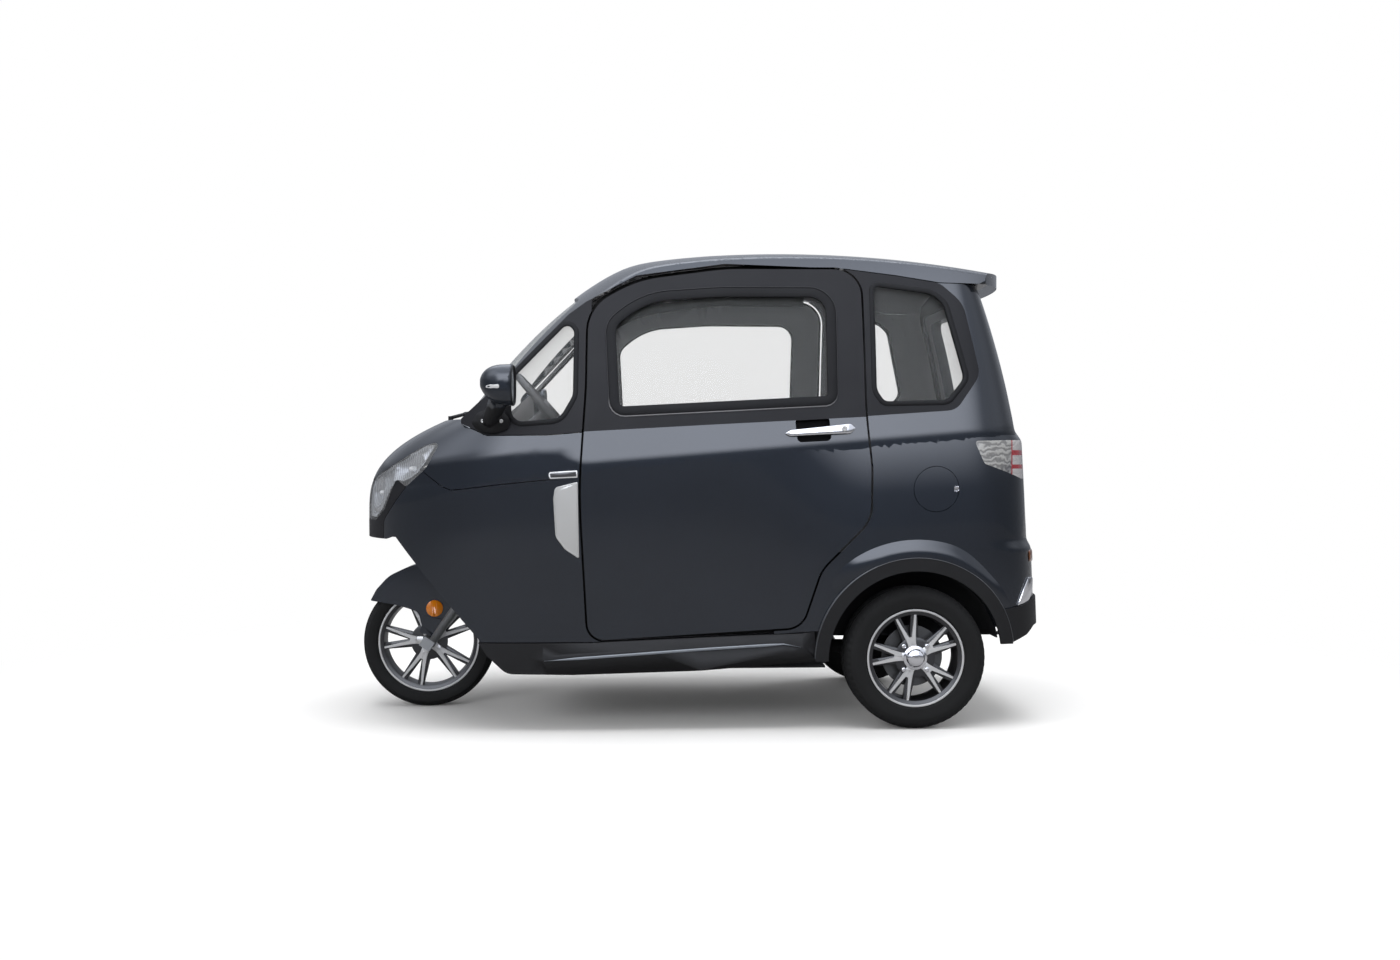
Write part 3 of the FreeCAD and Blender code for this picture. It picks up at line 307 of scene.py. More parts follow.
def over_crease(spots):
    """Height of each spot over the shoulder line, which rises to the rear."""
    return spots[:, 2] - shoulder_z - (shoulder_x + rear_axle_x - spots[:, 0]) * shoulder_slope


def sliced(mesh, planes):
    """Cuts a mesh along planes, each a spot and a direction, so that it can carry a finer shading."""
    work = bmesh.new()
    work.from_mesh(mesh)
    for spot, across in planes:
        bmesh.ops.bisect_plane(work, geom=work.verts[:] + work.edges[:] + work.faces[:], plane_co=spot,
                               plane_no=across)
    bmesh.ops.remove_doubles(work, verts=work.verts[:], dist=1.5e-4)
    bmesh.ops.dissolve_degenerate(work, edges=work.edges[:], dist=1e-4)
    work.to_mesh(mesh)
    work.free()


def read(items, name):
    """Three numbers of every item of a mesh, as an array of rows."""
    numbers = np.empty(len(items) * 3, np.float32)
    items.foreach_get(name, numbers)
    return numbers.reshape(-1, 3).astype(float)


def read_whole(items, name):
    """One whole number of every item of a mesh."""
    numbers = np.empty(len(items), np.int32)
    items.foreach_get(name, numbers)
    return numbers


def against(mesh, gap):
    """Distance of each face from a surface, and how far it faces the same way, from 1 to -1."""
    direction, distance = slope_of(gap, read(mesh.polygons, "center"))
    return distance, np.sum(direction * read(mesh.polygon_normals, "vector"), axis=1)


level_least, flank_tilt, low_flank_tilt = 0.1, 0.095, 0.065
to_middle, off_crease, same_way = 0.03, 0.0005, 0.85


def surface_normals(mesh, surfaces, reach):
    """Normals of a mesh's corners, where faces on one of the surfaces take that surface's own directions. These are
    levelled just over the shoulder and tilted up a little under it, to set the reflections as in the photograph."""
    normals = read(mesh.corner_normals, "vector")
    middle = read(mesh.polygons, "center")
    owner = np.repeat(np.arange(len(middle)), read_whole(mesh.polygons, "loop_total"))
    spots = read(mesh.vertices, "co")[read_whole(mesh.loops, "vertex_index")]
    spots += to_middle * (middle[owner] - spots)
    own, other = over_crease(middle)[owner], over_crease(spots)
    spots[:, 2] += np.where(own * other < 0.0, off_crease * np.sign(own) - other, 0.0)
    along, rise = spots[:, 0] - rear_axle_x, over_crease(spots)
    front = eased(along, 1.10, 1.22)
    steep = eased(rise, 0.004 + 0.050 * front, 0.045 + 0.060 * front)
    level = np.where(rise > 0.0, level_least + (1.0 - level_least) * steep, 1.0)
    under = (1.0 - eased(along, 0.15, 0.65)) * (rise <= 0.0)
    tilt = flank_tilt - (flank_tilt - low_flank_tilt) * eased(-rise, 0.1, 0.4)
    nearest = np.full(len(middle), reach)
    for gap in surfaces:
        distance, facing = against(mesh, gap)
        good = (distance < nearest) & (np.abs(facing) > same_way)
        turned = slope_of(gap, spots)[0]
        turned[:, 2] *= level
        turned[:, 2] += np.abs(turned[:, 1]) * under * tilt
        turned *= (np.sign(facing[owner]) / np.linalg.norm(turned, axis=1))[:, None]
        normals[good[owner]] = turned[good[owner]]
        nearest[good] = distance[good]
    return normals


lining_depth, facing_in = 0.012, -0.3


def settled(piece):
    """Mesh of a piece as its modifiers shape it, which the piece then keeps without them."""
    bpy.context.view_layer.update()
    mesh = bpy.data.meshes.new_from_object(piece.evaluated_get(bpy.context.evaluated_depsgraph_get()))
    piece.modifiers.clear()
    piece.data = mesh
    return mesh


def smooth_copy(node, name, material, body, crease=30.0, surfaces=(), reach=0.005, planes=(), lined=None):
    """Copy of a construction piece with its doubles merged, its rounds smooth and its flats crisp. Its faces well
    inside the given surfaces, turned to the cabin, take the lining."""
    mesh = nodes[node].data.copy()
    mesh.name = name
    piece = bpy.data.objects.new(name, mesh)
    bpy.context.scene.collection.objects.link(piece)
    piece.modifiers.new("merge", "WELD").merge_threshold = 1e-5
    shaped = settled(piece)
    shaped.name = name
    if planes:
        sliced(shaped, planes)
    shaped.polygons.foreach_set("use_smooth", np.ones(len(shaped.polygons), bool))
    shaped.set_sharp_from_angle(angle=math.radians(crease))
    if surfaces:
        shaped.normals_split_custom_set(surface_normals(shaped, surfaces, reach).tolist())
    shaped.materials.clear()
    shaped.materials.append(material)
    if lined:
        shaped.materials.append(lined)
        inner = np.ones(len(shaped.polygons), bool)
        for gap in surfaces:
            distance, facing = against(shaped, gap)
            inner &= (distance > lining_depth) & (facing < facing_in)
        shaped.polygons.foreach_set("material_index", inner.astype(np.int32))
    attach(piece, body)
    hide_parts(node)
    return piece


# Painted panels
# Pressed and moulded panels in a dark slate-blue metallic with a clear coat. The copy keeps every edge and gap of
# the panel. The side panels, doors and flap are cut along the shoulder and upright so that their shading can follow
# the body surface closely.
paint, paint_place = new_material("slate_metallic")
flake = paint_place.node("ShaderNodeTexVoronoi", {"feature": "F1"}, output=1, Vector=paint_place, Scale=1400.0)
flake_tone = flake.node("ShaderNodeSeparateColor", Color=flake)
cloud = paint_place.node("ShaderNodeTexNoise", Vector=paint_place, Scale=3.0, Detail=3.0)
paint_tone = (flake_tone * 0.35 + cloud * 0.65).blend((0.009, 0.012, 0.018, 1.0), (0.018, 0.023, 0.033, 1.0))
dress(paint, Base_Color=paint_tone, Metallic=0.35, Roughness=0.38, Coat_Weight=1.0, Coat_Roughness=0.03,
      Coat_IOR=1.5, Specular_IOR_Level=0.1)

slice_lifts = [*np.arange(-0.60, -0.01, 0.03), 0.008, 0.018, 0.030, 0.042, 0.055, 0.075, 0.1, 0.13]
side_slices = [(Vector((shoulder_x + rear_axle_x, 0.0, shoulder_z + lift)), Vector((shoulder_slope, 0.0, 1.0)))
               for lift in slice_lifts]
side_slices += [(Vector((x, 0.0, 0.0)), Vector((1.0, 0.0, 0.0))) for x in np.arange(-1.20, 1.20, 0.05)]

# Near-black for the pocket under each door handle and its posts: painted shade in the recess.
pocket_painted_shade = finish("pocket_painted_shade", (0.006, 0.006, 0.007), 0.7, spread=0.3, specular=0.1)
liner_grey = finish("liner_grey", (0.30, 0.30, 0.31), 0.8, grain=(600.0, 0.0003), spread=0.15)
handle_middle, pocket_reach = (0.335 + rear_axle_x, 1.0), (0.10, 0.05)
for node, body, surfaces in (
    ("rear_side_left", "body", (tail_gap,)),
    ("rear_side_right", "body", (tail_gap,)),
    ("tail_panel", "body", (tail_gap,)),
    ("front_side_left", "body", (nose_gap,)),
    ("front_side_right", "body", (nose_gap,)),
    ("bonnet", "body", (nose_gap,)),
    ("roof", "body", (roof_gap, cabin_gap)),
    ("spoiler", "body", (roof_gap, cabin_gap)),
    ("hatch", "hatch", (tail_gap,)),
    ("door_left", "door_left", (tail_gap,)),
    ("door_right", "door_right", (tail_gap,)),
    ("charge_flap", "charge_flap", (tail_gap,)),
):
    slices = () if node in ("roof", "spoiler", "hatch", "tail_panel", "bonnet") else side_slices
    lined = liner_grey if node not in ("bonnet", "spoiler", "charge_flap") else None
    panel = smooth_copy(node, node + "_panel", paint, body, surfaces=surfaces, planes=slices, lined=lined)
    if node.startswith("door"):
        # The pocket's faces take the near-black: painted shade.
        panel.data.materials.append(pocket_painted_shade)
        distance, facing = against(panel.data, tail_gap)
        away = np.abs(read(panel.data.polygons, "center")[:, [0, 2]] - handle_middle)
        pocket = (distance > 0.002) & (distance < 0.030) & (facing > facing_in) & np.all(away < pocket_reach, axis=1)
        layer = np.where(pocket, 2, read_whole(panel.data.polygons, "material_index"))
        panel.data.polygons.foreach_set("material_index", layer.astype(np.int32))

# Black upper frames and the middle of the nose
# Moulded frames round the windows in black with a soft gloss, and the black middle between the lamps.
frame_black = finish("frame_black", (0.012, 0.012, 0.014), 0.5, spread=0.25, specular=0.2)
for node, body, surfaces in (
    ("door_frame_left", "door_left", (tail_gap,)),
    ("door_frame_right", "door_right", (tail_gap,)),
    ("window_frames", "body", (tail_gap, cabin_gap)),
    ("nose_centre", "body", (nose_gap,)),
):
    lined = liner_grey if node != "nose_centre" else None
    smooth_copy(node, node + "_black", frame_black, body, surfaces=surfaces, lined=lined)

# Glass
# Thin toughened panes set into the frames, clear with a faint green tint. Seen at a slant a pane turns an opaque
# grey: a painted reflection added to its own gloss.
pane_clear, pane_place = new_material("pane_clear")
grazing = pane_place.node("ShaderNodeLayerWeight", output=1, Blend=0.5)
dress(pane_clear, Base_Color=(0.34, 0.36, 0.36, 1.0), Roughness=0.02, IOR=1.45,
      Alpha=pane_place.maths("POWER", grazing, 5.0) * 0.75 + 0.08)
for node, body, surfaces in (
    ("door_glass_left", "door_left", (tail_gap,)),
    ("door_glass_right", "door_right", (tail_gap,)),
    ("quarter_glass", "body", (tail_gap, cabin_gap)),
    ("hatch_glass", "hatch", (tail_gap,)),
    ("windscreen", "body", (roof_gap,)),
):
    smooth_copy(node, node + "_pane", pane_clear, body, surfaces=surfaces, reach=0.03)

# Window seals
# Rubber bands that hold each pane, raised a little over the frames. Each is one profile carried round the
# window's rounded outline on the body's own surface.
def rounded(corners, spacing=0.008):
    """Closed outline from (x, z, radius) corners in millimetres: arcs that touch both edges, joined by lines."""
    corner = np.array(corners, float) / 1000.0
    line = []
    for here, before, after in zip(corner, np.roll(corner, 1, 0), np.roll(corner, -1, 0)):
        back = (before - here)[:2] / np.linalg.norm((before - here)[:2])
        ahead = (after - here)[:2] / np.linalg.norm((after - here)[:2])
        half = math.acos(float(np.clip(back @ ahead, -1.0, 1.0))) / 2.0
        radius = max(here[2], 1e-4)
        middle = here[:2] + (back + ahead) / np.linalg.norm(back + ahead) * radius / math.sin(half)
        first = here[:2] + back * radius / math.tan(half) - middle
        last = here[:2] + ahead * radius / math.tan(half) - middle
        turn = math.pi - 2.0 * half
        count = max(2, int(radius * turn / spacing) + 2)
        share = np.linspace(0.0, 1.0, count)[:, None]
        line.append(middle + (np.sin((1.0 - share) * turn) * first + np.sin(share * turn) * last) / math.sin(turn))
    line = np.concatenate(line)
    steps = np.linalg.norm(np.roll(line, -1, 0) - line, axis=1)
    at = np.concatenate([[0.0], np.cumsum(steps)])
    closed = np.vstack([line, line[:1]])
    every = np.union1d(np.linspace(0.0, at[-1], int(at[-1] / (3.0 * spacing)) + 1)[:-1], at[:-1])
    every = every[np.concatenate([[True], np.diff(every) > 1e-5])]
    return np.stack([np.interp(every, at, closed[:, axis]) for axis in (0, 1)], axis=1)


def outward_of(line):
    """Direction square to a closed outline at each of its points, pointing away from its middle."""
    along = np.roll(line, -1, 0) - np.roll(line, 1, 0)
    across = np.stack([along[:, 1], -along[:, 0]], axis=1)
    across /= np.linalg.norm(across, axis=1)[:, None] + 1e-12
    return across * np.sign(np.sum(across * (line - line.mean(axis=0))))


def loft(name, rings, material, body, closed=False, crease=35.0):
    """Solid skin over an array of rings of points, measured from the rear axle, or over several arrays.
    Each ring closes on itself, and the row of rings either closes as well or ends in two flat faces."""
    rings = rings if isinstance(rings, list) else [rings]
    quads, first = [], 0
    for part in rings:
        count, size = part.shape[:2]
        row = np.arange(count if closed else count - 1)[:, None]
        place = np.arange(size)[None]
        ahead = first + (row + 1) % count * size
        here = first + row * size
        quads += np.stack([here + place, here + (place + 1) % size, ahead + (place + 1) % size, ahead + place],
                          axis=-1).reshape(-1, 4).tolist()
        if not closed:
            quads += [list(range(first, first + size))[::-1],
                      list(range(first + (count - 1) * size, first + count * size))]
        first += count * size
    mesh = bpy.data.meshes.new(name)
    spots = np.concatenate([part.reshape(-1, 3) for part in rings]) + (rear_axle_x, 0.0, 0.0)
    mesh.from_pydata(spots.tolist(), [], quads)
    work = bmesh.new()
    work.from_mesh(mesh)
    bmesh.ops.remove_doubles(work, verts=work.verts[:], dist=1e-6)
    bmesh.ops.recalc_face_normals(work, faces=work.faces[:])
    work.to_mesh(mesh)
    work.free()
    mesh.polygons.foreach_set("use_smooth", np.ones(len(mesh.polygons), bool))
    mesh.set_sharp_from_angle(angle=math.radians(crease))
    mesh.materials.append(material)
    piece = bpy.data.objects.new(name, mesh)
    bpy.context.scene.collection.objects.link(piece)
    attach(piece, body)
    return piece


def points(x, y, z):
    """Points from three arrays of coordinates, spread over the same rows and columns."""
    return np.stack(np.broadcast_arrays(x, y, z), axis=-1)


def slant(skin, x, z):
    """How much further a height square to the skin reaches sideways: the root of one plus both slopes squared."""
    step = 5e-4
    along = (skin(x + step, z) - skin(x - step, z)) / (2.0 * step)
    up = (skin(x, z + step) - skin(x, z - step)) / (2.0 * step)
    return np.minimum(np.sqrt(1.0 + along ** 2 + up ** 2), 3.0)


def along_outline(line, profile, skin, side=1.0):
    """Rings of a profile of (distance outwards, height over the skin) carried round a closed outline."""
    across = outward_of(line)
    reach, lift = np.array(profile).T
    x = line[:, :1] + across[:, :1] * reach
    z = line[:, 1:] + across[:, 1:] * reach
    return points(x, side * (skin(x, z) + lift * slant(skin, x, z)), z)


def on_outline(line, heights, skin, side=1.0, depth=0.002):
    """Rings of a low dome that fills an outline: the outline drawn in to its middle in steps,
    with a height over the skin at each step, and a back a little under it."""
    share = np.array([step for step, _ in heights] + [1.0, 0.02])
    lift = np.array([rise for _, rise in heights] + [-depth, -depth])
    middle = line.mean(axis=0)
    spots = middle + share[:, None, None] * (line - middle)
    x, z = spots[..., 0], spots[..., 1]
    return points(x, side * (skin(x, z) + lift[:, None] * slant(skin, x, z)), z)


door_window = rounded([(1000, 1081, 22), (1014, 1360, 60), (905, 1446, 260), (650, 1464, 900), (296, 1464, 62),
                       (298, 1118, 14)])
rear_window = rounded([(142, 1505, 22), (-60, 1478, 75), (-104, 1440, 60), (-166, 1182, 45), (-102, 1103, 40),
                       (116, 1098, 30), (144, 1140, 60)])
front_window = rounded([(1168, 1378, 26), (1142, 1340, 20), (1144, 1120, 60), (1190, 1039, 60), (1356, 1026, 45),
                        (1366, 1170, 60)])
seal_rubber = finish("seal_rubber", (0.008, 0.008, 0.009), 0.6, grain=(800.0, 0.0003), spread=0.3, specular=0.2)
wide_seal = [(-0.004, -0.012), (-0.004, 0.0015), (0.0, 0.0030), (0.012, 0.0034), (0.022, 0.0030), (0.027, 0.0014),
             (0.0285, -0.001), (0.010, -0.012)]
slim_seal = [(-0.006, -0.012), (-0.006, 0.0016), (-0.002, 0.0034), (0.006, 0.0034), (0.010, 0.0016),
             (0.011, -0.001), (0.004, -0.012)]
highlight_bead = [(0.0275, 0.0008), (0.0285, 0.0026), (0.0305, 0.0026), (0.0315, 0.0008), (0.0295, -0.001)]
# The bead is pale grey along its low edge and black above: the pale part is a painted highlight.
bead_painted_highlight, bead_place = new_material("bead_painted_highlight")
painted_highlight_low = 1.0 - bead_place.axis(2).over(1.075, 1.125)
dress(bead_painted_highlight, Base_Color=painted_highlight_low.blend((0.010, 0.010, 0.011, 1.0), (0.20, 0.20, 0.21, 1.0)), Roughness=0.45,
      Specular_IOR_Level=0.3)
both_sides = (("left", 1.0), ("right", -1.0))
for side, sign in both_sides:
    for part, line, profile, skin, material, body, slot in (
        ("seal_door_", door_window, wide_seal, tail_skin, seal_rubber, "door_" + side, "seal_rubber"),
        ("bead_door_", door_window, highlight_bead, tail_skin, bead_painted_highlight, "door_" + side, "black_plastic"),
        ("seal_rear_", rear_window, slim_seal, tail_skin, seal_rubber, "body", "seal_rubber"),
        ("seal_front_", front_window, slim_seal, cabin_skin, seal_rubber, "body", "seal_rubber"),
    ):
        loft("window_" + part + side, along_outline(line, profile, skin, sign), material, body, closed=True)

# Black mouldings low on the body, the frame and the running gear
# Grained plastic for the bumper, sills and arch trims, coated steel for the frame, axle and dampers.
plastic_black = finish("plastic_black", (0.014, 0.014, 0.015), 0.55, grain=(900.0, 0.0004), spread=0.3, specular=0.25)
steel_black = finish("steel_black", (0.018, 0.018, 0.019), 0.5, spread=0.3, specular=0.3)
rubber = finish("rubber", (0.012, 0.012, 0.012), 0.8, grain=(500.0, 0.0004), spread=0.3, specular=0.25)
smooth_copy("opening_seals", "opening_seals_rubber", rubber, "body")
smooth_copy("charge_inlet", "charge_inlet_socket", plastic_black, "body")
for node in ("rear_bumper", "arch_trims", "wheel_housings", "sills", "front_well", "wiper", "battery_box"):
    smooth_copy(node, node + "_moulding", plastic_black, "body")
for node in ("chassis_frame", "rear_axle", "rear_dampers", "seat_bases"):
    smooth_copy(node, node + "_steel", steel_black, "body")

# Cabin trim
# Grained grey plastic for the dashboard and steering wheel, ribbed dark covering on the floor.
trim_grey = finish("trim_grey", (0.085, 0.086, 0.09), 0.55, grain=(700.0, 0.0003), spread=0.2)
floor_dark = finish("floor_dark", (0.035, 0.035, 0.037), 0.8, grain=(250.0, 0.0006), spread=0.3)
smooth_copy("dashboard", "dashboard_trim", trim_grey, "body")
smooth_copy("steering_wheel", "steering_wheel_trim", trim_grey, "steering_wheel")
smooth_copy("floor_pan", "floor_covering", floor_dark, "body")

# Bright trims beside the doors
# The bare brushed plate behind the front wheel's arch and the short plated strip over it, with a dark inlay.
plate_silver = finish("plate_silver", (0.56, 0.56, 0.55), 0.36, metallic=0.45, spread=0.06)
chrome = finish("chrome", (0.72, 0.72, 0.74), 0.10, metallic=1.0, spread=0.03)
dark_inlay_and_painted_shade = finish("dark_inlay_and_painted_shade", (0.05, 0.05, 0.055), 0.3, coat=0.5, spread=0.3)
smooth_copy("side_trims", "side_trims_plate", plate_silver, "body")
strip_rise = [(0.02, 0.0036), (0.9, 0.0036), (1.0, 0.0032)]
strip = rounded([(1224, 864, 4), (1138, 870, 2), (1137, 854, 2), (1222, 850, 4)], 0.002)
plate_edge = rounded([(1213, 782, 20), (1207, 818, 16), (1133, 836, 4), (1129, 582, 4), (1176, 614, 30),
                      (1206, 655, 40)])
edge_profile = [(-0.006, 0.0022), (-0.004, 0.0042), (-0.0012, 0.0040), (0.0, 0.0024), (-0.002, 0.001)]
for side, sign in both_sides:
    loft("side_strip_inlay_" + side, on_outline(strip, strip_rise, nose_skin, sign), dark_inlay_and_painted_shade, "body")
    loft("side_plate_rim_" + side, along_outline(plate_edge, edge_profile, nose_skin, sign), plate_silver, "body",
         closed=True)

# Door handles
# Plated cast pulls that thicken to the rear, bridging a pocket pressed in the door, each with a key cylinder.
handle_share = np.linspace(0.0, 1.0, 40)[:, None]
handle_x = 0.446 - 0.232 * handle_share
handle_tall = 0.0105 + 0.0065 * handle_share ** 1.3
handle_tall *= np.clip(np.minimum(handle_share, 1.0 - handle_share) * 14.0, 0.02, 1.0) ** 0.5
handle_out = 0.013 - 0.011 * np.abs(2.0 * handle_share - 1.0) ** 6
key_x, key_z = 0.252, 1.012
key_profile = [(0.0165, 0.0005), (0.0215, 0.0005), (0.0215, 0.0020), (0.0225, 0.0024), (0.0225, 0.0078),
               (0.0212, 0.0092), (0.0150, 0.0092)]
post_profile = [(-0.023, 0.013), (-0.010, 0.0085), (0.002, 0.0075), (0.010, 0.0070)]


def around(count):
    """Even turns of a full circle."""
    return np.linspace(0.0, 2.0 * math.pi, count, endpoint=False)


def squared(turn, power):
    """Cosine and sine of a turn to a power, which draw an oval out towards its corners."""
    c, k = np.cos(turn), np.sin(turn)
    return np.sign(c) * np.abs(c) ** power, np.sign(k) * np.abs(k) ** power


def button(spot, outward, profile, turn):
    """Rings of a small turned form from its foot to its tip, as (distance out, radius) steps."""
    step = np.array(profile)
    return points(spot[0] + step[:, 1:] * np.cos(turn), spot[1] + outward * step[:, :1],
                  spot[2] + step[:, 1:] * np.sin(turn))


for side, sign in both_sides:
    out, up = squared(around(24), 0.7)
    z = 0.996 + 0.018 * handle_share + handle_tall * up
    y = sign * (tail_skin(handle_x, z) + handle_out + 0.0055 * out)
    pull = loft("door_handle_pull_" + side, points(handle_x, y, z), chrome, "door_" + side)
    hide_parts("door_handle_" + side)
    loft("door_key_" + side, button((key_x, sign * tail_skin(key_x, key_z), key_z), sign, key_profile, around(28)),
         plate_silver, "door_" + side)
    # The posts stand in the pocket and take its painted shade.
    for post_x in (0.418, 0.240):
        foot = (post_x, sign * tail_skin(post_x, 1.0), 1.0 + (0.430 - post_x) * 0.075)
        loft("door_handle_post_" + side + str(int(post_x * 1000)), button(foot, sign, post_profile, around(28)),
             pocket_painted_shade, "door_" + side)

# Mirrors
# Painted moulded shells on black arms and feet that are screwed to the window corner, each with its glass to
# the rear and a clear side lamp in the shell's outer face.
mirror_y, mirror_z, mirror_wide, mirror_tall, mirror_back = 0.690, 1.146, 0.0765, 0.0645, 1.332
mirror_pair = smooth_copy("mirrors", "mirrors_shell", paint, "body", crease=40.0)
mirror_pair.data.materials.append(plastic_black)
centre = read(mirror_pair.data.polygons, "center")
off = np.abs((np.abs(centre[:, 1]) - mirror_y) / 0.080) ** 3 + np.abs((centre[:, 2] - 1.147) / 0.0675) ** 3
mirror_pair.data.polygons.foreach_set("material_index", (off > 1.25).astype(np.int32))
mirror_glass = finish("mirror_glass", (0.80, 0.82, 0.84), 0.03, metallic=1.0, spread=0.02)
side_lens = finish("side_lens", (0.75, 0.76, 0.78), 0.12, coat=0.8, spread=0.1)


def mirror_skin(x, z):
    """Outer side of the mirror shell: half width and height shrink forwards, joined by a third power."""
    along = (mirror_back, 1.362, 1.396, 1.420, 1.434)
    wide = np.interp(x, along, (0.078, 0.078, 0.070, 0.050, 0.020))
    tall = np.interp(x, along, (0.066, 0.064, 0.056, 0.038, 0.015))
    share = np.clip(np.abs(z - 1.148) / tall, 0.0, 0.98)
    return mirror_y + wide * (1.0 - share ** 3) ** (1.0 / 3.0)


def mirror_oval(x, profile, sign):
    """Rings of an oval cut square to the car's length, as (distance forward, share of the mirror's size) steps."""
    step = np.array(profile)
    wide, tall = squared(around(48), 0.66)
    return points(x + step[:, :1], sign * (mirror_y + mirror_wide * step[:, 1:] * wide),
                  mirror_z + mirror_tall * step[:, 1:] * tall)


lamp_line = rounded([(1418, 1142, 4), (1366, 1146, 5), (1366, 1130, 5), (1416, 1133, 4)], 0.002)
lamp_rise = [(0.02, 0.0022), (0.7, 0.0020), (1.0, 0.0004)]
bolt_spots = ((1.444, 1.036), (1.384, 1.036))
bolt_profile = [(0.0, 0.0065), (0.003, 0.0065), (0.0045, 0.0045), (0.0035, 0.0028), (0.0035, 0.0004)]
bezel_profile = [(0.0, 0.86), (-0.003, 0.90), (-0.004, 0.97), (-0.001, 0.99), (0.004, 0.97)]
pane_profile = [(-0.0005, 0.02), (-0.0005, 0.84), (0.0004, 0.87), (0.003, 0.87)]
for side, sign in both_sides:
    loft("mirror_bezel_" + side, mirror_oval(mirror_back + 0.0005, bezel_profile, sign), plastic_black, "body")
    loft("mirror_pane_" + side, mirror_oval(mirror_back, pane_profile, sign), mirror_glass, "body")
    loft("mirror_lamp_" + side, on_outline(lamp_line, lamp_rise, mirror_skin, sign), side_lens, "body")
    for count, (bolt_x, bolt_z) in enumerate(bolt_spots):
        bolt = button((bolt_x, sign * 0.5555, bolt_z), sign, bolt_profile, around(18))
        loft("mirror_bolt_%s%d" % (side, count), bolt, plate_silver, "body")

# Fork, front mudguard and reflectors
# Silver painted steel fork, painted mudguard with a flat cheek on each side, amber lens discs.
fork_silver = finish("fork_silver", (0.33, 0.34, 0.35), 0.35, metallic=0.6, spread=0.1)
amber, _ = new_material("amber_lens")
dress(amber, Base_Color=(0.92, 0.27, 0.01, 1.0), Roughness=0.15, Coat_Weight=0.8)
smooth_copy("fork", "fork_steel", fork_silver, "fork")
smooth_copy("front_mudguard", "front_mudguard_shell", paint, "fork")
smooth_copy("front_reflectors", "front_reflectors_lens", amber, "fork")

# Headlamps
# A clear moulded lens over a bright reflector with two dished bowls, each with its bulb, behind the nose's skin.
# The reflector is one surface over height and the turn round the nose, dented where the bowls are.
lens_clear, _ = new_material("lens_clear")
dress(lens_clear, Base_Color=(0.70, 0.72, 0.75, 1.0), Roughness=0.04, Alpha=0.16, Coat_Weight=1.0)
reflector, reflector_place = new_material("reflector_bright")
reflector_ribs = reflector_place.node("ShaderNodeTexWave", {"bands_direction": "X"}, output=1, Vector=reflector_place,
                                      Scale=45.0, Distortion=1.5, Detail=1.0)
dress(reflector, Base_Color=reflector_ribs.blend((0.26, 0.27, 0.29, 1.0), (0.62, 0.64, 0.66, 1.0)), Metallic=0.55,
      Roughness=0.22)
smooth_copy("headlamps", "headlamps_lens", lens_clear, "body", surfaces=(nose_gap,), reach=0.012)


def nose_spot(turn, z, depth):
    """Length and half width on the nose, sunk by a depth: cosine and sine of the turn to the power 2 / 2.6."""
    x = nose_start + (nose_end(z) - nose_start - depth) * np.cos(turn) ** (2.0 / nose_power)
    y = (side_half(np.minimum(x, 1.9), z) - depth) * np.sin(turn) ** (2.0 / nose_power)
    return x, y


lamp_low, lamp_high, lamp_inner, lamp_depth = 0.712, 0.958, 0.172, 0.012
lamp_z = np.linspace(lamp_low, lamp_high, 56)[:, None]
rear_x = np.interp(lamp_z, (0.702, 0.742, 0.818, 0.846, 0.880, 0.973), (1.848, 1.806, 1.767, 1.712, 1.655, 1.602))
front_x = np.interp(lamp_z, (0.702, 0.790, 0.874, 0.955, 0.973), (1.982, 1.982, 1.792, 1.647, 1.612))
nose_long = nose_end(lamp_z) - nose_start - lamp_depth
to_turn = nose_power / 2.0
rear_turn = np.arccos(np.clip((rear_x - nose_start) / nose_long, 0.0, 1.0) ** to_turn)
inner_turn = np.arcsin(np.clip(lamp_inner / (side_half(1.8, lamp_z) - lamp_depth), 0.0, 1.0) ** to_turn)
front_turn = np.maximum(np.arccos(np.clip((front_x - nose_start) / nose_long, 0.0, 1.0) ** to_turn), inner_turn)
front_turn = np.minimum(front_turn, rear_turn - 0.01)
lamp_turn = front_turn + (rear_turn - front_turn) * np.linspace(0.0, 1.0, 64)
edge = np.minimum(np.minimum(lamp_turn - front_turn, rear_turn - lamp_turn) * 0.5,
                  np.minimum(lamp_z - lamp_low, lamp_high - lamp_z))
sunk = 0.008 + 0.010 * eased(edge, 0.0, 0.014)
bowls = ((0.795, 0.42, 0.052), (0.878, 0.78, 0.050))
for bowl_z, bowl_turn, bowl_size in bowls:
    away = np.hypot(lamp_z - bowl_z, (lamp_turn - bowl_turn) * 0.33) / bowl_size
    sunk = sunk + 0.030 * np.clip(1.0 - away ** 2, 0.0, 1.0) - 0.004 * np.exp(-((away - 1.05) / 0.08) ** 2)
bulb = np.array([(0.0, 0.0095), (0.012, 0.0095), (0.019, 0.0075), (0.023, 0.0040), (0.0245, 0.0004)])
bulb_out, bulb_wide, bulb_tall = bulb[:, :1], bulb[:, 1:] * np.cos(around(24)), bulb[:, 1:] * np.sin(around(24))
for side, sign in both_sides:
    sheet = []
    for depth in (sunk, sunk + 0.002):
        x, y = nose_spot(lamp_turn, lamp_z, depth)
        sheet.append(points(x, sign * y, lamp_z))
    loft("headlamp_reflector_" + side, np.concatenate([sheet[0], sheet[1][:, ::-1]], axis=1), reflector, "body",
         crease=60.0)
    for count, (bowl_z, bowl_turn, _) in enumerate(bowls):
        x, y = nose_spot(bowl_turn, bowl_z, 0.046)
        c, k = math.cos(bowl_turn), math.sin(bowl_turn)
        form = points(x + bulb_out * c - bulb_wide * k, sign * (y + bulb_out * k + bulb_wide * c), bowl_z + bulb_tall)
        loft("headlamp_bulb_%s%d" % (side, count), form, side_lens, "body")
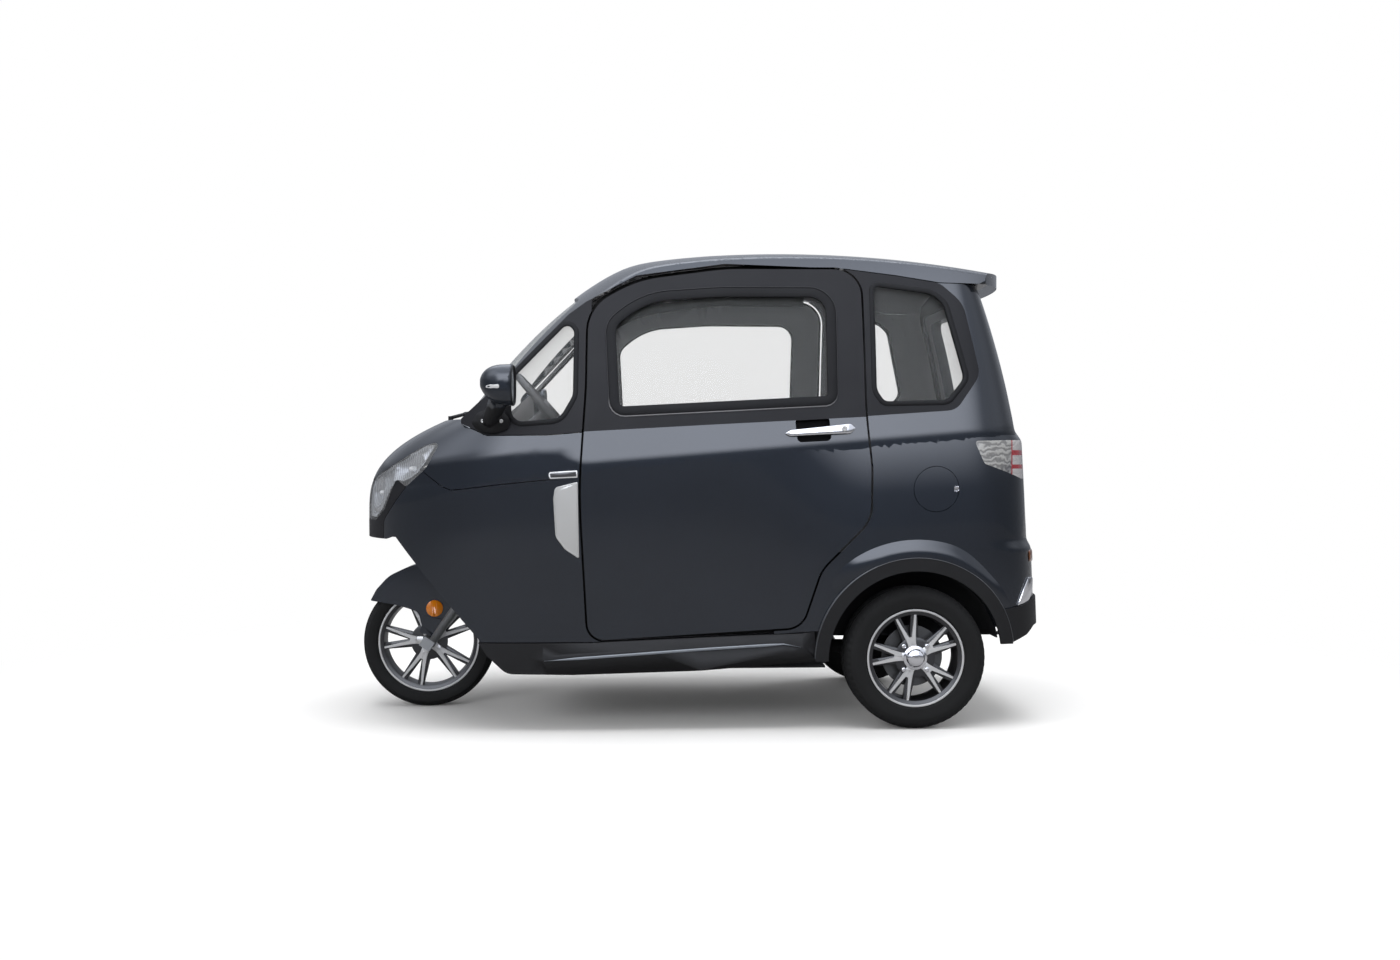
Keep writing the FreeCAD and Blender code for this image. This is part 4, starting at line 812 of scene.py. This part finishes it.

# Tail lamps
# One moulded lens round each rear corner: clear with flowing ribs at the front, red and white chambers behind. The
# clear part is darker low and to the rear: painted shade.
tail_lens, tail_place = new_material("tail_lens")
tail_x, tail_z = tail_place.axis(0) - rear_axle_x, tail_place.axis(2)
tail_y = tail_place.maths("ABSOLUTE", tail_place.axis(1))
tail_ribs = tail_place.node("ShaderNodeTexWave", {"bands_direction": "Z"}, output=1, Vector=tail_place, Scale=15.0,
                            Distortion=9.0, Detail=2.0, Detail_Scale=2.2)
# The clear part runs from dark low and to the rear to light above: painted shade.
clear_part_painted_shade = (tail_z + tail_x * 0.9).over(0.585, 0.655).blend(
    tail_ribs.blend((0.10, 0.10, 0.11, 1.0), (0.30, 0.30, 0.31, 1.0)),
    tail_ribs.blend((0.22, 0.22, 0.22, 1.0), (0.50, 0.50, 0.49, 1.0)))
red_bar = tail_z.near(0.933, 0.006, 0.011) + tail_z.near(0.886, 0.004, 0.010)
red_edge = tail_x.near(-0.322, 0.003, 0.007)
red_share = (red_bar + red_edge + (1.0 - tail_y.over(0.40, 0.43)) * 0.85).over(0.1, 0.9)
rear_zone = red_share.blend((0.58, 0.56, 0.57, 1.0), (0.42, 0.02, 0.03, 1.0))
rearward = 1.0 - tail_x.over(-0.326, -0.318)
dress(tail_lens, Base_Color=rearward.blend(clear_part_painted_shade, rear_zone), Roughness=0.25, Coat_Weight=1.0,
      Coat_Roughness=0.03, Normal=tail_place.node("ShaderNodeBump", Height=tail_ribs, Strength=0.4, Distance=0.002))
smooth_copy("tail_lamps", "tail_lamps_lens", tail_lens, "body", surfaces=(tail_gap,),
            planes=side_slices[::2])

# Rear corners
# An amber marker and a short plated guard with a slot on each rear corner, over the bumper, and the finger
# notch of the charging flap.
marker_amber = finish("marker_amber", (0.20, 0.06, 0.01), 0.2, coat=0.8, spread=0.2)
marker_line = rounded([(-441, 600, 5), (-404, 598, 8), (-406, 558, 10), (-441, 556, 6)], 0.003)
guard_line = rounded([(-350, 410, 4), (-402, 418, 4), (-428, 462, 6), (-432, 504, 8), (-398, 508, 9),
                      (-376, 470, 12)], 0.003)
# The slot is a dark patch laid over the guard: painted shade where it opens. The same dark serves the side strip's
# real inlay.
slot_painted_shade_line = rounded([(-414, 499, 3), (-405, 500, 3), (-402, 485, 3), (-411, 484, 3)], 0.002)
notch_line = rounded([(-136, 822, 6), (-118, 822, 6), (-118, 802, 6), (-136, 802, 6)], 0.002)
for side, sign in both_sides:
    for part, line, rise, material, slot in (
        ("rear_marker_", marker_line, [(0.02, 0.005), (0.7, 0.0045), (0.95, 0.002), (1.0, 0.0)], marker_amber,
         "amber_lens"),
        ("rear_guard_", guard_line, [(0.02, 0.006), (0.85, 0.006), (0.96, 0.0045), (1.0, 0.002)], chrome,
         "bright_metal"),
        ("rear_guard_slot_", slot_painted_shade_line, [(0.02, 0.0066), (1.0, 0.0064)], dark_inlay_and_painted_shade, "black_plastic"),
    ):
        loft(part + side, on_outline(line, rise, tail_skin, sign), material, "body")
notch_rise = [(0.02, -0.0002), (0.75, 0.0006), (0.9, 0.0026), (1.0, 0.0006)]
loft("flap_notch", on_outline(notch_line, notch_rise, tail_skin), chrome, "charge_flap")

# Arch edges
# The black arch trims end in a thin folded lip in a lighter grey, a painted highlight, under a flare in body paint
# that fades out to the rear. A ledge line runs along each sill under the door, pale blue-grey as a painted highlight.
axle_height, arch_radius = 0.240, 0.3385
arch_turn = np.radians(np.linspace(-1.0, 171.5, 120))[:, None]
lip_profile = np.array([(0.0, 0.0), (0.0004, 0.0150), (0.0024, 0.0168), (0.0044, 0.0150), (0.0044, 0.0)])
# The lip's grey and the ledge's pale blue-grey are painted highlights, lighter than the black trims they sit on.
lip_painted_highlight = finish("lip_painted_highlight", (0.07, 0.075, 0.085), 0.35, coat=0.4, spread=0.2)
ledge_painted_highlight = finish("ledge_painted_highlight", (0.26, 0.29, 0.33), 0.35, coat=0.4, spread=0.3)
flare_turn = np.radians(np.linspace(34.0, 166.0, 110))[:, None]
flare_tall = eased(flare_turn, math.radians(34.0), math.radians(70.0)) * (
    1.0 - 0.9 * eased(flare_turn, math.radians(120.0), math.radians(166.0)))
flare_wide = 0.040 + 0.026 * (1.0 - eased(flare_turn, math.radians(105.0), math.radians(135.0)))
flare_profile = np.array([(0.0, 0.0), (0.0, 0.0150), (0.25, 0.0143), (0.50, 0.0115), (0.72, 0.0068), (0.88, 0.0027),
                          (1.0, 0.0), (0.5, -0.001)])
ledge_profile = np.array([(-0.0045, 0.0), (-0.0030, 0.0016), (0.0020, 0.0020), (0.0045, 0.0), (0.0, -0.001)])
ledge_front, ledge_rear = 1.246, 0.392
ledge_x = np.linspace(ledge_front, ledge_rear, 60)[:, None]
ledge_slim = np.clip(np.minimum(ledge_front - ledge_x, ledge_x - ledge_rear) * 9.0, 0.15, 1.0)
ledge_line = np.interp(ledge_x, (0.381, 0.447, 0.729, 1.250), (0.280, 0.293, 0.277, 0.242))
ledge_z = ledge_line + ledge_profile[:, 0] * ledge_slim


def on_arch(turn, out, height, sign):
    """Rings round a rear wheel's arch, as distances out from its edge and heights over the painted side."""
    x = (arch_radius + out) * np.cos(turn)
    z = axle_height + (arch_radius + out) * np.sin(turn)
    return points(x, sign * (tail_skin(x, z) + height), z)


for side, sign in both_sides:
    loft("arch_lip_" + side, on_arch(arch_turn, lip_profile[:, 0], lip_profile[:, 1] - 0.002, sign), lip_painted_highlight, "body")
    flare = on_arch(flare_turn, flare_profile[:, 0] * flare_wide, flare_profile[:, 1] * flare_tall - 0.001, sign)
    loft("arch_flare_" + side, flare, paint, "body", crease=80.0)
    ledge = points(ledge_x, sign * (tail_skin(ledge_x, ledge_z) + 0.0162 + ledge_profile[:, 1]), ledge_z)
    loft("sill_ledge_" + side, ledge, ledge_painted_highlight, "body", crease=80.0)

# Wheels
# Cast rims with a machined face of ten slim arms in pairs over wider dark arms behind them, a dished barrel, a
# plated cap and nuts. Every form is turned about the axle, or carried out from the hub along an arm.
rim_bright = finish("rim_bright", (0.66, 0.66, 0.66), 0.34, metallic=0.4, spread=0.08)
rim_dark = finish("rim_dark", (0.012, 0.012, 0.014), 0.4, coat=0.3, spread=0.3)
brake_steel = finish("brake_steel", (0.10, 0.10, 0.10), 0.45, metallic=0.8, spread=0.4)


def turned_ring(profile, spot, outward=1.0):
    """Rings of a closed (y, radius) profile turned about an axle through a spot."""
    y, radius = np.array(profile).T
    turn = around(96)[:, None]
    return points(spot[0] + radius * np.cos(turn), spot[1] + outward * y, spot[2] + radius * np.sin(turn))


def arm(angle, spot, outward, near, far, near_half, far_half, top, thick, twist=0.0):
    """Rings of a bar from one radius to another: a flat top with its edges cut back, narrowing outwards."""
    share = np.linspace(0.0, 1.0, 14)[:, None]
    radius = near + (far - near) * share
    half = near_half + (far_half - near_half) * share ** 0.8
    turn = angle + twist * share * (2.0 - share)
    ring = np.array([(-0.86, 0.0), (0.86, 0.0), (1.0, -0.0012), (1.0, -1.0), (-1.0, -1.0), (-1.0, -0.0012)])
    across = half * ring[:, 0]
    y = np.where(ring[:, 1] < -0.5, top - thick, top + ring[:, 1])
    return points(spot[0] + radius * np.cos(turn) - across * np.sin(turn), spot[1] + outward * y,
                  spot[2] + radius * np.sin(turn) + across * np.cos(turn))


wheelbase, half_track = 1.706, 0.471
wheels = (
    ("front", (wheelbase, 0.0, axle_height), 0.112, 0.184, 1.0),
    ("rear_left", (0.0, half_track, axle_height), 0.138, 0.165, 1.0),
    ("rear_right", (0.0, -half_track, axle_height), 0.138, 0.165, -1.0),
)
arm_pairs = [math.radians(77.0 + 72.0 * pair) for pair in range(5)]
under_lean, over_lean = math.radians(11.5), math.radians(6.5)
for wheel, spot, width, lip, outward in wheels:
    body = wheel + "_wheel"
    bead = width / 2.0 - 0.021
    rim_edge = width / 2.0 - 0.012
    face = bead + 0.001
    hub_back = -0.040 if wheel == "front" else -0.049
    barrel = turned_ring([(-rim_edge, lip - 0.001), (-bead - 0.003, lip - 0.001), (-bead, lip - 0.013),
                          (bead, lip - 0.013), (bead + 0.003, lip - 0.001), (rim_edge - 0.002, lip - 0.001),
                          (rim_edge - 0.002, lip - 0.007), (bead + 0.001, lip - 0.019), (0.0, lip - 0.026),
                          (-bead - 0.001, lip - 0.020), (-rim_edge, lip - 0.008)], spot)
    under = [arm(angle + lean * under_lean, spot, outward, 0.030, lip - 0.016, 0.017, 0.011, face - 0.006, 0.020)
             for angle in arm_pairs for lean in (-1.0, 1.0)]
    dark = loft(wheel + "_rim_barrel", barrel, rim_dark, body, closed=True)
    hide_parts(wheel + "_rim")
    loft(wheel + "_rim_arms_dark", under, rim_dark, body)
    hub = button(spot, outward, [(hub_back, 0.0445), (face - 0.012, 0.0455), (face - 0.010, 0.066),
                                 (face - 0.006, 0.068), (face - 0.004, 0.060), (face - 0.004, 0.012)], around(96))
    loft(wheel + "_rim_hub", hub, rim_dark, body)
    over = [arm(angle + lean * over_lean, spot, outward, 0.046, lip - 0.009, 0.0085, 0.0034, face, 0.007,
                twist=lean * over_lean) for angle in arm_pairs for lean in (-1.0, 1.0)]
    over += [arm(angle, spot, outward, 0.024, 0.071, 0.015, 0.0130, face - 0.0006, 0.007) for angle in arm_pairs]
    loft(wheel + "_rim_arms", over, rim_bright, body)
    lip_ring = turned_ring([(bead - 0.001, lip - 0.0125), (rim_edge, lip - 0.0055), (rim_edge + 0.0004, lip - 0.003),
                            (rim_edge, lip), (rim_edge - 0.002, lip + 0.0004), (rim_edge - 0.002, lip - 0.004),
                            (bead - 0.003, lip - 0.0145)], spot, outward)
    loft(wheel + "_rim_lip", lip_ring, rim_bright, body, closed=True)
    if wheel == "front":
        continue
    cap = button(spot, outward, [(face - 0.004, 0.0405), (face + 0.001, 0.0405), (face + 0.0022, 0.039),
                                 (face + 0.0022, 0.0335), (face + 0.0035, 0.0315), (face + 0.012, 0.0295),
                                 (face + 0.0165, 0.024), (face + 0.0190, 0.014), (face + 0.0198, 0.0004)], around(96))
    loft(wheel + "_hub_cap", cap, chrome, body, crease=40.0)
    nut_profile = [(face - 0.010, 0.0085), (face + 0.001, 0.0085), (face + 0.004, 0.0075), (face + 0.006, 0.0045),
                   (face + 0.0064, 0.0004)]
    nuts = [button((spot[0] + 0.056 * math.cos(angle), spot[1], spot[2] + 0.056 * math.sin(angle)), outward,
                   nut_profile, around(12)) for angle in np.radians((45.0, 135.0, 225.0, 315.0))]
    loft(wheel + "_nuts", nuts, chrome, body, crease=20.0)
    disc = turned_ring([(-0.010, 0.060), (-0.010, 0.104), (-0.004, 0.104), (-0.004, 0.060)], spot, outward)
    loft(wheel + "_brake_disc", disc, brake_steel, body, closed=True)

# Tyres
# Moulded road tyres. The section is carried round the wheel, and the tread's grooves and the ribs at the bead
# are worked into it as a second function of the turn.
tread_radius, block_count = 0.236, 60.0
turn = around(300)[:, None]
for wheel, spot, width, lip, _ in wheels:
    half = width / 2.0
    middle = (axle_height + lip) / 2.0
    outline = [(half - 0.022, lip - 0.0120), (half - 0.0185, lip + 0.0005), (half - 0.011, lip + 0.0015),
               (half - 0.0095, lip + 0.0040), (half - 0.0085, lip + 0.0045), (half - 0.0070, lip + 0.0070),
               (half - 0.0062, lip + 0.0072), (half - 0.0025, middle - 0.010), (half - 0.0004, middle),
               (half - 0.0012, middle + 0.009), (half - 0.0045, 0.2215), (half - 0.0052, 0.2220),
               (half - 0.0075, 0.2268), (half - 0.0105, 0.2312), (half - 0.0155, 0.2352), (half - 0.022, 0.2380)]
    tread = [(half * share, 0.2396 - 0.0016 * share ** 2) for share in np.linspace(0.64, 0.02, 13)]
    section = np.array(outline + tread)
    y, radius = np.concatenate([section, section[::-1] * (-1.0, 1.0)]).T
    across = np.abs(y) / half
    groove = np.exp(-((across - 0.28) / 0.035) ** 2) + np.exp(-((across - 0.60) / 0.030) ** 2)
    wave = np.cos(block_count * turn + 14.0 * y / half)
    sipe = (wave > 0.72) * eased(across, 0.64, 0.72) * (radius > 0.2255)
    small = (np.cos(block_count * turn - 9.0 * y / half) > 0.86) * (across < 0.62) * (radius > tread_radius)
    grown = radius - 0.0045 * groove * (radius > tread_radius) - 0.0030 * sipe - 0.0020 * small
    ring = points(spot[0] + grown * np.cos(turn), spot[1] + y, spot[2] + grown * np.sin(turn))
    tyre = loft(wheel + "_tyre_rubber", ring, rubber, wheel + "_wheel", closed=True, crease=25.0)
    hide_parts(wheel + "_tyre")

# Seats
# Woven covers stretched over moulded foam, a cushion and a back to each seat, with sewn channels across.
# Each pad starts as a rounded block that narrows between its corners, and is blown up as cloth under pressure.
weave, weave_place = new_material("seat_weave")
threads = weave_place.node("ShaderNodeTexWave", {"bands_direction": "Y"}, output=1, Vector=weave_place, Scale=260.0)
cross_threads = weave_place.node("ShaderNodeTexWave", {"bands_direction": "DIAGONAL"}, output=1, Vector=weave_place,
                                 Scale=240.0)
woven = threads * 0.5 + cross_threads * 0.5
worn = weave_place.node("ShaderNodeTexNoise", Vector=weave_place, Scale=14.0, Detail=4.0)
dress(weave, Base_Color=(woven * 0.55 + worn * 0.45).blend((0.055, 0.055, 0.060, 1.0), (0.17, 0.17, 0.175, 1.0)),
      Roughness=0.9, Normal=weave_place.node("ShaderNodeBump", Height=woven, Strength=0.5, Distance=0.0006))


def pad_block(length, width, thick):
    """Rounded block as rings along its length: powers of the cosine and sine give its round edges,
    and its sides draw in between the corners."""
    along = np.linspace(-1.0, 1.0, 40)[:, None]
    end = np.clip(1.0 - np.abs(along) ** 9, 0.0004, 1.0) ** (1.0 / 3.0)
    wide, tall = squared(around(72), 0.42)[0], squared(around(72), 0.62)[1] * (thick / 2.0)
    pull = 1.0 - 0.025 * (1.0 - along ** 2)
    crown = 1.0 + 0.16 * (1.0 - along ** 2) * (1.0 - wide ** 2)
    x = along * (length / 2.0) * (1.0 - 0.02 * (1.0 - wide ** 2))
    return points(x, wide * (width / 2.0) * end * pull, tall * end * crown)


def blown(piece, cap=0.022, last_frame=20):
    """Remeshes a pad evenly, lets pressure swell it as cloth for some frames and keeps each point within a cap."""
    scene = bpy.context.scene
    even = piece.modifiers.new("even", "REMESH")
    even.mode = "VOXEL"
    even.voxel_size = 0.006
    before = read(settled(piece).vertices, "co")
    cloth = piece.modifiers.new("cloth", "CLOTH")
    cloth.settings.quality = 4
    cloth.settings.use_pressure = True
    cloth.settings.uniform_pressure_force = 4.0
    cloth.settings.effector_weights.gravity = 0.0
    cloth.point_cache.frame_start = 1
    cloth.point_cache.frame_end = last_frame
    for frame_number in range(1, last_frame + 1):
        scene.frame_set(frame_number)
    swollen = settled(piece)
    scene.frame_set(1)
    moved = read(swollen.vertices, "co") - before
    moved *= np.minimum(1.0, cap / (np.linalg.norm(moved, axis=1)[:, None] + 1e-9))
    swollen.vertices.foreach_set("co", (before + moved).astype(np.float32).ravel())


def seat_pad(name, node, length, width, thick, middle, lean, channels):
    """One pad: a block, blown, with its channels and edge seams pressed in, leaned and set in its place."""
    piece = loft(name, pad_block(length, width, thick) - (rear_axle_x, 0.0, 0.0), weave, "body",
                 crease=180.0)
    blown(piece)
    finer = piece.modifiers.new("finer", "SUBSURF")
    finer.levels = finer.render_levels = 1
    settled(piece)
    mesh = piece.data
    spots = read(mesh.vertices, "co")
    top = eased(spots[:, 2], 0.0, thick * 0.3)
    inner = 1.0 - eased(np.abs(spots[:, 1]), width / 2.0 - 0.075, width / 2.0 - 0.06)
    for channel in channels:
        spots[:, 2] -= 0.007 * np.exp(-((spots[:, 0] - channel) / 0.006) ** 2) * top * inner
    for seam in (-1.0, 1.0):
        spots[:, 2] -= 0.008 * np.exp(-((spots[:, 1] - seam * (width / 2.0 - 0.068)) / 0.006) ** 2) * top
    c, k = math.cos(lean), math.sin(lean)
    placed = points(middle[0] + rear_axle_x + spots[:, 0] * c - spots[:, 2] * k, middle[1] + spots[:, 1],
                    middle[2] + spots[:, 0] * k + spots[:, 2] * c)
    mesh.vertices.foreach_set("co", placed.astype(np.float32).ravel())
    mesh.polygons.foreach_set("use_smooth", np.ones(len(mesh.polygons), bool))
    mesh.materials.clear()
    mesh.materials.append(weave)
    mesh.update()
    if node:
        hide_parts(node)


channels_cushion = (-0.10, -0.02, 0.06, 0.14)
channels_back = (-0.12, -0.04, 0.04, 0.12)
seat_pad("driver_seat_cushion", "driver_seat", 0.400, 0.440, 0.068, (0.740, 0.0, 0.510), math.radians(2.0),
         channels_cushion)
seat_pad("driver_seat_back", None, 0.450, 0.430, 0.070, (0.498, 0.0, 0.770), math.radians(103.5), channels_back)
seat_pad("rear_seat_cushion", "rear_seat", 0.380, 0.720, 0.064, (0.055, 0.0, 0.510), 0.0, channels_cushion)
seat_pad("rear_seat_back", None, 0.410, 0.700, 0.064, (-0.178, 0.0, 0.740), math.radians(104.0), channels_back)
